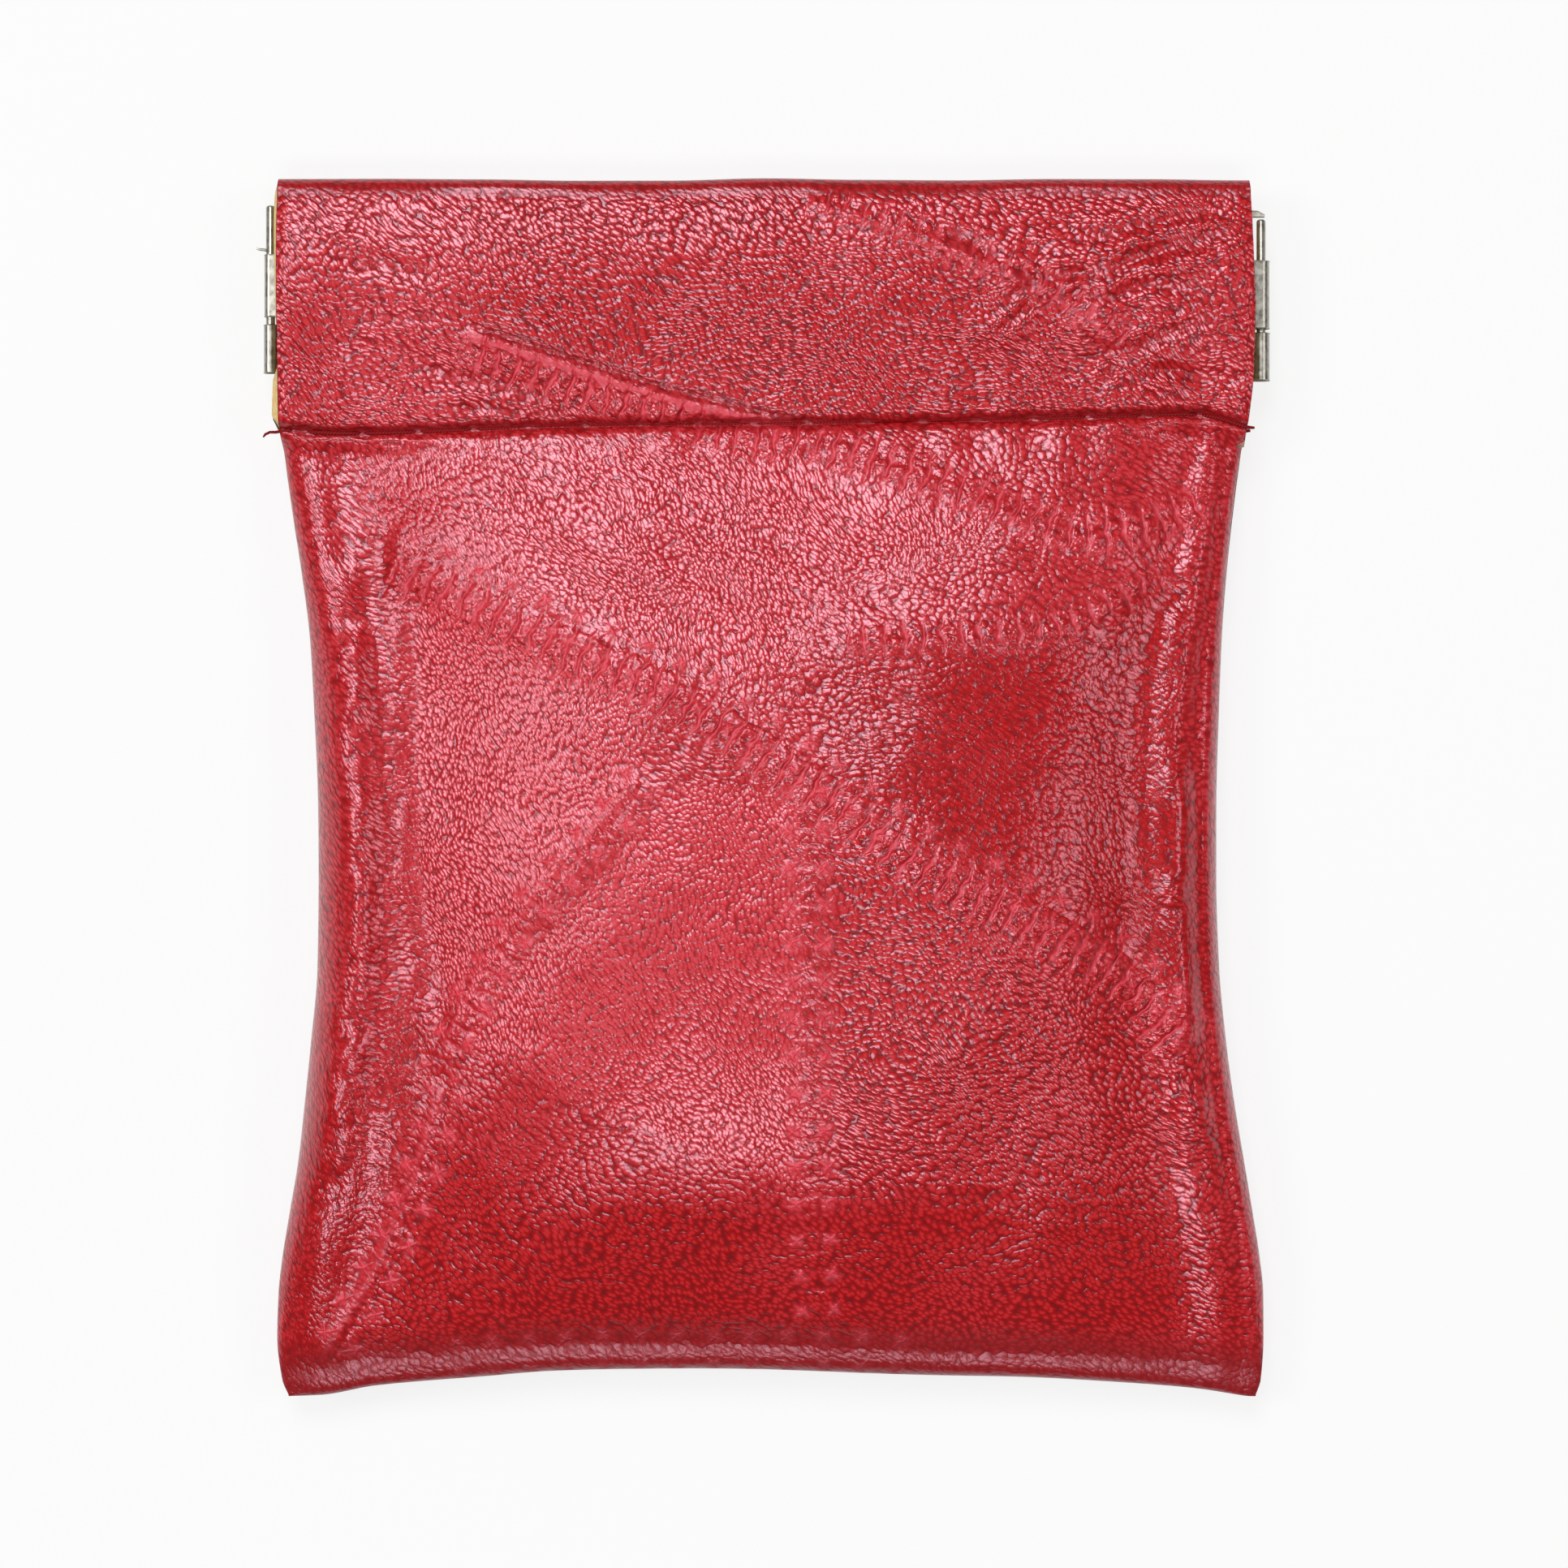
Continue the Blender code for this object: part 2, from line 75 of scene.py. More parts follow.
# Leather sheet
LEATHER = 0.8
GRID, COARSE_GRID = 0.42, 0.84
NECK_STEP, LIP_STEP, WALL_STEP = 0.26, 0.25, 1.1
FOOT_RISES = [0, 0.03, 0.12, 0.27, 0.5, 0.8, 1.15, 1.55, 2.0]
SPLIT_V, STITCH_V, FOLD_V, HEM_V = 74.4, 76.5, 94.7, 75.0
LIP_V = STITCH_V + 2
FOLD_RADIUS = 1.3
FOLD_STEPS = 10
WALL_DEPTH = 0.15
PANEL_HALF = 35.0
BAND_COLUMNS = 10
BAND_POWER = 1.6
BAND_MOST, BAND_LEAST = 3.0, 0.5
# How far the cuff's cut end reaches past its inner side, as (v, reach)
LEFT_CUT_REACH = [
    (75, -0.3), (76.1, -0.2), (76.5, 0.58), (79.0, 0.5), (80.8, 0.34), (81.2, 0.02), (84.2, 0.0),
    (85.0, 0.14), (89, 0.22), (94, 0.3), (96, 0.2),
]
RIGHT_CUT_REACH = [(75, 0.08), (96, 0.08)]

# Outline: half width at a height, as (v, half width), and the bottom edge and stitch line, as (x, v)
LEFT_EDGE = [
    (0, 37.8), (1.2, 38.3), (4.6, 38.7), (8, 38.6), (11, 38.27), (14.2, 37.75), (18.7, 37.0), (23.2, 36.5),
    (27.6, 36.05), (34, 35.5), (41, 35.42), (46, 35.45), (55, 35.82), (60, 36.12), (65.4, 36.8), (70, 37.5),
    (74.4, 38.1), (77, 38.35), (84, 38.42), (92, 38.45), (96, 38.38),
]
RIGHT_EDGE = [
    (0, 38.8), (1.2, 39.2), (4.6, 39.42), (8, 39.4), (11, 39.1), (14.2, 38.6), (18.7, 37.85), (23.2, 37.1),
    (27.6, 36.5), (34, 35.9), (41, 35.68), (46, 35.68), (55, 35.92), (60, 36.12), (65.4, 36.52),
    (70, 37.02), (74.4, 37.6), (77, 38.0), (81, 38.38), (84, 38.46), (92, 38.26), (96, 38.08),
]
BOTTOM_EDGE = [
    (-38.5, -0.1), (-35.7, 0.0), (-31, 0.75), (-22, 1.5), (-17, 1.9), (-11.7, 2.05), (-5, 2.1),
    (-0.9, 2.05), (3.6, 1.9), (8.7, 1.7), (13.9, 1.55), (19.6, 1.45), (29, 0.95), (34, 0.55), (38.5, -0.1),
]
STITCH_LINE = [
    (-38, 75.9), (-31.6, 76.0), (-15.6, 76.6), (10, 76.9), (29, 77.4), (34.8, 77.7), (38.2, 77.2),
]

# Swell of each half: depth over the height above the bottom edge, and share of it over the distance from the
# side, and depth of the cuff over the height
FRONT_SWELL = [
    (0, 0), (0.12, 0.7), (0.5, 1.35), (1.2, 1.68), (2.0, 1.74), (3.0, 2.3), (4.0, 3.0), (5.4, 3.8),
    (7.5, 4.75), (10.5, 5.95), (15, 7.45), (19, 8.25), (23, 8.74), (27, 8.95), (32, 9.0), (40, 8.6),
    (50, 7.6), (58, 6.4), (65, 5.0), (70, 3.9), (73.5, 3.1), (75.4, 2.7), (76.0, 2.5), (76.3, 2.1),
    (76.5, 1.8),
]
BACK_SWELL = [
    (0, 0), (0.12, 0.6), (0.6, 1.35), (2, 2.3), (5, 3.4), (9, 3.95), (14, 4.0), (56, 4.0), (64, 3.7),
    (70, 3.1), (74, 2.4), (76.5, 1.9),
]
LEFT_SHARE = [
    (0, 0), (0.08, 0.085), (0.3, 0.17), (1, 0.33), (1.9, 0.45), (2.7, 0.515), (3.7, 0.54), (4.7, 0.515),
    (6.1, 0.475), (8, 0.49), (10, 0.545), (13, 0.665), (17, 0.81), (22, 0.92), (28, 0.985), (36, 1.0),
]
RIGHT_SHARE = [
    (0, 0), (0.08, 0.085), (0.3, 0.165), (1, 0.305), (1.8, 0.35), (2.6, 0.45), (3.6, 0.53), (4.6, 0.535),
    (5.8, 0.505), (7, 0.525), (9, 0.62), (12, 0.77), (18, 0.91), (25, 0.98), (37, 1.0),
]
BACK_SHARE = [
    (0, 0), (0.08, 0.12), (0.4, 0.27), (1.5, 0.52), (3, 0.7), (6, 0.88), (10, 0.97), (15, 1.0), (37, 1.0),
]
CUFF_DEPTHS = [
    (76.5, 1.8), (76.62, 2.15), (76.85, 2.5), (77.3, 2.66), (80, 2.84), (84, 3.18), (87.5, 3.36),
    (90, 3.32), (93.2, 3.0), (94.7, 2.75),
]

# The front's sides are steeper near the cuff and sag a little at the right of the foot
NECK_STEEPNESS, NECK_RANGE = 0.55, (54, 70)
FOOT_SAG, FOOT_SAG_RANGE, FOOT_SAG_SIDE = 0.09, (35, 20), (6, 20)
NECK_OPENS = (SPLIT_V, SPLIT_V + 2.6)
CUFF_END_SINK, CUFF_END_WIDE = 0.22, 0.45
STITCH_BELOW, STITCH_ABOVE = (58, STITCH_V), (STITCH_V + 14, STITCH_V)
STITCH_END_POWER = 16
RIM_LIFT, RIM_WAVE, RIM_NOISE, RIM_RANGE = 0.06, 0.12, (7.5, 31), (89, FOLD_V)


def smooth(value):
    value = np.clip(value, 0.0, 1.0)
    return value * value * (3 - 2 * value)


def fade(value, start, end):
    """Rises smoothly from 0 where value is start to 1 where it is end."""
    return smooth((value - start) / (end - start))


def bell(value, centre, width):
    """1 where value is centre, falling off over width."""
    return np.exp(-((value - centre) / width) ** 2)


def mix(first, second, share):
    return first + (second - first) * share


def curve(points):
    """A smooth line through points that never overshoots them, flat past its ends."""
    places, values = np.array(points, float).T
    slopes = np.diff(values) / np.diff(places)
    tangents = np.concatenate([slopes[:1], np.zeros(len(slopes) - 1), slopes[-1:]])
    same = slopes[1:] * slopes[:-1] > 0
    tangents[1:-1][same] = 2 * slopes[1:][same] * slopes[:-1][same] / (slopes[1:][same] + slopes[:-1][same])

    def at(place):
        place = np.clip(place, places[0], places[-1])
        index = np.clip(np.searchsorted(places, place) - 1, 0, len(places) - 2)
        width = places[index + 1] - places[index]
        share = (place - places[index]) / width
        rest = 1 - share
        value = values[index] * (1 + 2 * share) * rest**2 + values[index + 1] * share**2 * (3 - 2 * share)
        return value + width * (tangents[index] * share * rest**2 - tangents[index + 1] * share**2 * rest)

    return at


def noise(x, y, scale, seed):
    """Smooth noise from -1 to 1 with lumps of about this scale."""
    count = 64
    table = np.random.default_rng(seed).uniform(-1, 1, (count, count))
    x, y = np.asarray(x) / scale, np.asarray(y) / scale
    column, row = np.floor(x).astype(int), np.floor(y).astype(int)
    right, up = smooth(x - column), smooth(y - row)

    def at(i, j):
        return table[i % count, j % count]

    low = mix(at(column, row), at(column + 1, row), right)
    high = mix(at(column, row + 1), at(column + 1, row + 1), right)
    return mix(low, high, up)


def camera_height():
    return FOCUS_Z + FRAME_PX * PIXEL * LENS / SENSOR


def place(px, py, z):
    """(x, v) of a pixel of the photograph on a surface at height z."""
    closer = (camera_height() - z) / (camera_height() - FOCUS_Z)
    x = mix((FRAME_PX / 2 - MIDDLE_PX) * PIXEL, (px - MIDDLE_PX) * PIXEL, closer)
    v = mix((FOOT_PX - FRAME_PX / 2) * PIXEL, (FOOT_PX - py) * PIXEL, closer)
    return x, v


def drawn(pixels, z, rounds=3):
    """A line of places through pixels, with its corners cut smooth."""
    points = [np.array(place(px, py, z)) for px, py in pixels]
    for _ in range(rounds):
        cut = [points[0]]
        for first, second in zip(points[:-1], points[1:]):
            cut += [mix(first, second, 0.25), mix(first, second, 0.75)]
        points = cut + [points[-1]]
    return points


def beside(path, x, v):
    """How far each place is from a line, positive on its left, and how far along the line it is."""
    across = np.full(np.shape(x), np.inf)
    along = np.zeros(np.shape(x))
    run = 0.0
    for (ax, av), (bx, bv) in zip(path[:-1], path[1:]):
        dx, dv = bx - ax, bv - av
        length = math.hypot(dx, dv)
        share = np.clip(((x - ax) * dx + (v - av) * dv) / length**2, 0, 1)
        off_x, off_v = x - ax - share * dx, v - av - share * dv
        distance = np.hypot(off_x, off_v)
        nearer = distance < np.abs(across)
        across = np.where(nearer, distance * np.where(dx * off_v - dv * off_x < 0, -1, 1), across)
        along = np.where(nearer, run + share * length, along)
        run += length
    return across, along, run


def ends_fade(along, length, start, end):
    """1 along a line, falling to 0 over these lengths at its start and its end."""
    return fade(along, 0, start) * fade(length - along, 0, end)


left_edge, right_edge = curve(LEFT_EDGE), curve(RIGHT_EDGE)
stitch_line, bottom_edge = curve(STITCH_LINE), curve(BOTTOM_EDGE)
swells = {"front": curve(FRONT_SWELL), "back": curve(BACK_SWELL)}
side_shares = {name: curve([(math.sqrt(distance), share) for distance, share in table])
               for name, table in (("left", LEFT_SHARE), ("right", RIGHT_SHARE), ("back", BACK_SHARE))}
cuff_depth = curve(CUFF_DEPTHS)


def edge_at(x, v):
    """Half width at height v, on the side of x."""
    return np.where(x < 0, left_edge(v), right_edge(v))


def fold_x(side, fold, v):
    """Where a fold line crosses a height: they fan out from the pin's foot."""
    return side * (PIN_X - fold * FAN * v)


# The sheet of each half, as a grid of rows from the bottom edge over the cuff's top to the hem inside

OUTSIDE = ("belly", "neck", "cuff")


def rows_in(sheet, *names):
    """Which rows of a sheet lie in these parts of it, as a column."""
    return np.isin(sheet["parts"], names)[:, None]


def even_steps(start, end, step):
    """Places from start to end about a step apart, as an even number of intervals."""
    count = 2 * max(1, round(abs(end - start) / step / 2))
    return list(np.linspace(start, end, count + 1))


def sheet_rows():
    """Each row's part of the sheet and its height, or its turn in the fold, and the rows where parts meet."""
    parts = {
        "belly": FOOT_RISES + even_steps(FOOT_RISES[-1], SPLIT_V, GRID)[1:],
        "neck": even_steps(SPLIT_V, STITCH_V, NECK_STEP)[1:],
        "cuff": even_steps(STITCH_V, LIP_V, LIP_STEP)[1:] + even_steps(LIP_V, FOLD_V, GRID)[1:],
        "fold": [math.pi * step / FOLD_STEPS for step in range(1, FOLD_STEPS + 1)],
        "wall": even_steps(FOLD_V, HEM_V, WALL_STEP)[1:],
    }
    names = np.array([name for name, values in parts.items() for _ in values])
    split = len(parts["belly"]) - 1
    return names, np.concatenate(list(parts.values())), split, split + len(parts["neck"])


def sheet_columns(step):
    """Each column as (side, share of the band's or the panel's width, whether it lies in the side band)."""
    band = [((column / BAND_COLUMNS) ** BAND_POWER, True) for column in range(BAND_COLUMNS)]
    half = band + [(share, False) for share in even_steps(0, 1, step / PANEL_HALF)]
    columns = [(-1, *column) for column in half] + [(1, *column) for column in reversed(half[:-1])]
    return columns, len(band), len(half) - 1


def band_width(side, v):
    """The side piece reaches to the first fold line, or a little less."""
    return np.clip(edge_at(side, v) - abs(fold_x(side, FIRST_FOLD, v)), BAND_LEAST, BAND_MOST)


def column_x(column, v):
    side, share, banded = column
    band, edge = band_width(side, v), edge_at(side, v)
    return side * (edge - band * share if banded else (edge - band) * (1 - share))


def stitch_shift(x, v, face):
    """The stitch line isn't level: rows near it follow it."""
    if face == "back":
        return np.zeros(np.shape(v))
    outward = np.clip(np.abs(x) / edge_at(x, STITCH_V), 0, 1)
    shift = (stitch_line(x) - STITCH_V) * (1 - outward**STITCH_END_POWER)
    return shift * np.where(v < STITCH_V, fade(v, *STITCH_BELOW), fade(v, *STITCH_ABOVE))


def belly_depth(face, x, v, rise):
    """Depth below the stitch line: the swell over the height times its share over the width."""
    inside = np.maximum(edge_at(x, v) - np.abs(x), 0.0)
    if face == "back":
        share = side_shares["back"](np.sqrt(inside))
    else:
        closer = np.sqrt(inside * (1 + NECK_STEEPNESS * fade(v, *NECK_RANGE)))
        share = np.where(x < 0, side_shares["left"](closer), side_shares["right"](closer))
        share = share * (1 - FOOT_SAG * fade(v, *FOOT_SAG_RANGE) * fade(x, *FOOT_SAG_SIDE))
    return swells[face](rise) * mix(share, 1.0, fade(v, *NECK_OPENS))


def half_sheet(face, step):
    """Places and facts of every grid point of one half's outer side."""
    parts, values, split, stitch = sheet_rows()
    columns, band, middle = sheet_columns(step)
    sheet = {"face": face, "parts": parts, "split": split, "stitch": stitch, "band": band, "middle": middle}
    belly, cuff, fold = [rows_in(sheet, name) for name in ("belly", "cuff", "fold")]
    values = values[:, None]
    low = np.array([float(bottom_edge(column_x(column, np.array(1.0)))) for column in columns])
    level = np.select([belly, fold], [low + (SPLIT_V - low) * values / SPLIT_V,
                                      FOLD_V + FOLD_RADIUS * np.sin(values)], values)
    x = np.stack([column_x(column, level[:, c]) for c, column in enumerate(columns)], axis=1)
    rise = np.where(belly, values, level)
    depth = np.select([rows_in(sheet, "belly", "neck"), cuff, fold],
                      [belly_depth(face, x, level, rise), cuff_depth(level),
                       WALL_DEPTH + FOLD_RADIUS + FOLD_RADIUS * np.cos(values)], WALL_DEPTH)
    depth -= cuff * CUFF_END_SINK * bell(np.abs(x), edge_at(x, level), CUFF_END_WIDE)
    shift = stitch_shift(x, level, face) * rows_in(sheet, *OUTSIDE)
    v = level + shift + (RIM_LIFT + RIM_WAVE * noise(x, 0 * x, *RIM_NOISE)) * fade(level, *RIM_RANGE)
    sheet.update(x=x, v=v, depth=depth, level=level, rise=rise)
    return sheet


def to_world(face, x, v, depth):
    return np.stack([x, v - HEIGHT / 2, PARTING_Z + FACES[face] * depth], axis=-1)


def grid_normals(points, face):
    """Unit normals of a grid, out of the leather's grain side."""
    normal = np.cross(np.gradient(points, axis=1), np.gradient(points, axis=0)) * FACES[face]
    return normal / np.maximum(np.linalg.norm(normal, axis=-1, keepdims=True), 1e-9)


# Relief

Seam = namedtuple("Seam", "layer z wide ribs pitch below ridge marks pixels")
# Seams of the patchwork: layer of the material's facts, height of the surface, half width, rib height, rib
# pitch, whether the puckers lie below the line, raised edge, stitch marks, pixels of the line
SEAMS = {
    "cuff_patch": Seam(1, 7.0, 1.6, 0.26, 1.5, True, 0.16, 0.0, [(565, 402), (700, 445), (840, 490),
        (985, 522)]),
    "upper_patch": Seam(2, 9.0, 1.5, 0.24, 1.5, False, 0.02, 0.35, [(950, 522), (1100, 572), (1240, 622),
        (1340, 668), (1440, 640), (1500, 600)]),
    "shelf": Seam(1, 10.0, 1.1, 0.2, 1.5, False, 0.03, 0.2, [(1030, 790), (1160, 785), (1300, 780),
        (1390, 730), (1450, 690)]),
    "long_diagonal": Seam(1, 12.0, 1.6, 0.26, 1.5, True, 0.035, 0.6, [(480, 668), (610, 735), (712, 780),
        (830, 830), (920, 888), (1030, 960), (1130, 1040), (1220, 1080), (1330, 1145), (1400, 1185),
        (1490, 1290)]),
    "short_diagonal": Seam(2, 12.5, 1.4, 0.1, 1.6, False, 0.04, 0.9, [(800, 950), (735, 1030),
        (670, 1090), (600, 1190), (560, 1275), (530, 1340)]),
    "upright": Seam(2, 12.5, 1.3, 0.05, 1.5, False, 0.0, 1.0, [(990, 960), (995, 1100), (997, 1300),
        (1000, 1480), (1005, 1560), (1010, 1650)]),
    "corner_pleat": Seam(1, 10.0, 1.1, 0.06, 1.6, False, 0.08, 1.0, [(552, 1330), (520, 1440),
        (480, 1540), (430, 1630), (385, 1700)]),
    "foot": Seam(1, 6.0, 0.8, 0.03, 1.5, False, 0.0, 1.0, [(545, 1678), (680, 1668), (800, 1665),
        (930, 1668), (1060, 1664), (1150, 1680)]),
    "cuff_right": Seam(2, 7.0, 1.2, 0.14, 1.5, False, 0.06, 0.3, [(985, 240), (1110, 278), (1230, 325),
        (1330, 372), (1400, 440)]),
}
SEAM_SWELL, SEAM_UNEVEN, SEAM_NOISE = 0.10, 0.06, (1.5, 11)
SEAM_RIDGE, RIDGE_OFF, RIDGE_WIDE = 0.6, 0.1, 0.8
SEAM_ENDS, MARK_ENDS, MARK_RANGE = (2.5, 2.5), (2.0, 2.0), (3.4, 2.2)
RIB_PITCH = 1.5
FAR = 9.0

# Creases of the leather: pixels, height of the surface, depth, half width
CREASES = [
    ([(492, 640), (487, 780), (490, 900), (498, 1080), (520, 1230), (552, 1330)], 9.0, -0.06, 0.5),
    ([(512, 700), (508, 900), (518, 1080), (545, 1230)], 9.0, 0.09, 0.8),
    ([(466, 640), (462, 780), (466, 900), (474, 1080), (492, 1230)], 9.0, 0.12, 0.9),
    ([(1150, 288), (1190, 303), (1232, 318)], 7.0, 0.45, 0.42),
    ([(1250, 322), (1272, 345), (1285, 382)], 7.0, 0.39, 0.42),
    ([(1225, 362), (1275, 352), (1330, 340)], 7.0, 0.30, 0.36),
    ([(1275, 352), (1245, 400), (1215, 430)], 7.0, 0.24, 0.36),
    ([(1290, 350), (1370, 322), (1470, 300), (1530, 296)], 7.0, 0.33, 0.48),
    ([(1300, 372), (1400, 352), (1500, 345)], 7.0, 0.27, 0.48),
    ([(1330, 292), (1420, 276), (1510, 268)], 7.0, 0.24, 0.48),
    ([(1386, 440), (1440, 410), (1510, 392)], 7.0, 0.30, 0.48),
    ([(1386, 440), (1430, 462), (1500, 470)], 7.0, 0.26, 0.42),
    ([(1386, 440), (1360, 480), (1345, 500)], 7.0, 0.21, 0.36),
    ([(1320, 420), (1386, 440), (1400, 400)], 7.0, 0.21, 0.36),
    ([(400, 300), (470, 330), (540, 352)], 7.0, 0.15, 0.60),
    ([(430, 380), (500, 400), (560, 396)], 7.0, 0.18, 0.54),
    ([(500, 440), (560, 470), (640, 480), (700, 500)], 7.0, 0.21, 0.48),
    ([(540, 500), (620, 505), (720, 512)], 7.0, 0.18, 0.48),
    ([(760, 640), (860, 700), (930, 760)], 11.0, 0.10, 0.7),
    ([(700, 660), (800, 720), (880, 800)], 11.0, 0.08, 0.6),
    ([(900, 640), (1000, 690), (1120, 760)], 11.0, 0.08, 0.7),
    ([(1140, 1440), (1250, 1452), (1380, 1478)], 11.5, 0.05, 0.5),
    ([(1150, 1475), (1280, 1495), (1400, 1500)], 11.0, 0.05, 0.5),
]
CREASE_ENDS = (1.5, 2.5)
CREASE_EVEN, CREASE_UNEVEN, CREASE_NOISE = 0.75, 0.35, (2.2, 23)
CREASE_LIP, LIP_OFF, LIP_WIDE = 0.55, 2.2, 1.2
WANDER, WANDER_SCALE, WANDER_SEEDS = 0.55, 2.7, (21, 22)
# Pieces of leather that differ: pixels, height of the surface, blur of the border, then pinkness, steepness
# and strength of the grain. The pinkness is partly each piece's own colour and partly painted light: pinker
# as painted sheen where highlights fall, deep red as painted shade on slopes turned from the lamps and on the
# cuff's middle and fold
PLAIN_PATCH = (0.35, 0.2, 0.9)
PATCHES = [
    ([(330, 525), (1560, 505), (1560, 200), (330, 200)], 7.0, 0.8, 0.12, 0.0, 1.15),
    ([(330, 525), (330, 230), (620, 230), (600, 400), (900, 515)], 7.0, 6.0, 0.35, 0.0, 1.1),
    ([(600, 370), (900, 330), (1250, 420), (1230, 510), (940, 515)], 7.0, 5.0, 0.0, 0.0, 1.2),
    ([(440, 550), (950, 535), (1250, 640), (1010, 740), (950, 870), (830, 820), (480, 660)],
     9.0, 5.0, 0.65, 0.8, 1.0),
    ([(500, 700), (820, 840), (800, 950), (560, 1270), (500, 1080)], 11.0, 3.0, 0.75, 1.0, 0.8),
    ([(830, 960), (990, 985), (990, 1470), (850, 1420), (560, 1290)], 12.5, 2.0, 0.8, 0.9, 0.7),
    ([(1020, 800), (1460, 720), (1500, 1250), (1300, 1130), (1020, 950)], 11.0, 4.0, 0.0, 0.3, 0.9),
    ([(1035, 1000), (1330, 1150), (1500, 1300), (1540, 1480), (1040, 1480)], 11.5, 3.0, 0.1, 0.0, 1.2),
    ([(540, 1420), (990, 1500), (1500, 1420), (1540, 1640), (400, 1680)], 9.0, 4.0, 0.0, 0.0, 0.7),
    ([(385, 1240), (530, 1250), (540, 1340), (385, 1690), (340, 1700)], 7.0, 3.0, 0.15, 0.5, 0.9),
    ([(300, 241), (1600, 241), (1600, 100), (300, 100)], 7.0, 0.3, 0.0, 0.0, 0.5),
]
STITCH_PITCH = 4.4
STITCH_START = -36.2

# Lumps all over the leather: height, scale, seed
LUMPS = [(0.16, 11, 3), (0.07, 4.5, 4), (0.02, 1.6, 5)]
LUMPS_FROM_EDGE, LUMPS_FROM_FOOT = 2.5, 3.0
BACK_FLAT = (0.5, 0.0)
# Around the stitch line: depth, place above the line, half width
HOLES, PUCKERS_ABOVE, PUCKERS_BELOW = (0.18, 0.0, 0.6), (0.07, 1.6, 1.2), (0.06, -1.8, 1.3)
HOLE_RANGE, PUCKER_EDGE = (0.3, 1.0), 4
# Beads along the ridge beside each edge
BEAD_HEIGHT, BEAD_NOISE = 0.34, (2.1, 8)
BEAD_PLACE, BEAD_FOOT, BEAD_TOP = (3.7, 1.1), (8, 16), (70, 64)
# Wrinkles that spread from the puckers at the right of the cuff, and fainter ones at its left
WRINKLE_DEPTH, WRINKLE_WIDE, WRINKLE_NOISE = 0.20, 0.2, (1.15, 24)
WRINKLE_STRETCH, WRINKLE_SLANT = 3.2, 0.1
WRINKLE_EVEN, WRINKLE_UNEVEN, UNEVEN_NOISE = 0.6, 0.4, (3, 25)
WRINKLE_LUMPS, WRINKLE_LUMP_NOISE = 0.14, (2.4, 26)
WRINKLE_FOOT = (77.8, 79.8)
RIGHT_WRINKLES, RIGHT_WRINKLE_TOP = (10, 18), (93.8, 92.3)
LEFT_WRINKLES, LEFT_WRINKLE_TOP, LEFT_WRINKLE_SHARE = (-16, -22), (86, 81), 0.7

# Painted shade, darkening the colour where shade falls: share, then the range or the place and half width in
# which it falls off
STITCH_DARK, STITCH_DARK_PLACE = 0.85, (0.05, 0.34)
FOOT_DARK, FOOT_DARK_RANGE = 0.75, (5.2, 2.0)
RIM_DARK, RIM_DARK_RANGE, FOLD_DARK = 0.4, (94.3, 94.7), 0.4
LAP_DARK, LAP_DARK_PLACE, LAP_DARK_START = 0.55, (0.45, 0.35), 3
CREASE_DARK = 0.8


def seam_paths():
    return [(seam, drawn(seam.pixels, seam.z)) for seam in SEAMS.values()]


def crease_facts(x, v):
    """For each crease: how far each place is from it, the fade towards its ends, its depth and half width."""
    x, v = [value + WANDER * noise(x, v, WANDER_SCALE, seed) for value, seed in zip((x, v), WANDER_SEEDS)]
    for pixels, z, deep, wide in CREASES:
        across, along, length = beside(drawn(pixels, z), x, v)
        yield across, ends_fade(along, length, *CREASE_ENDS), deep, wide


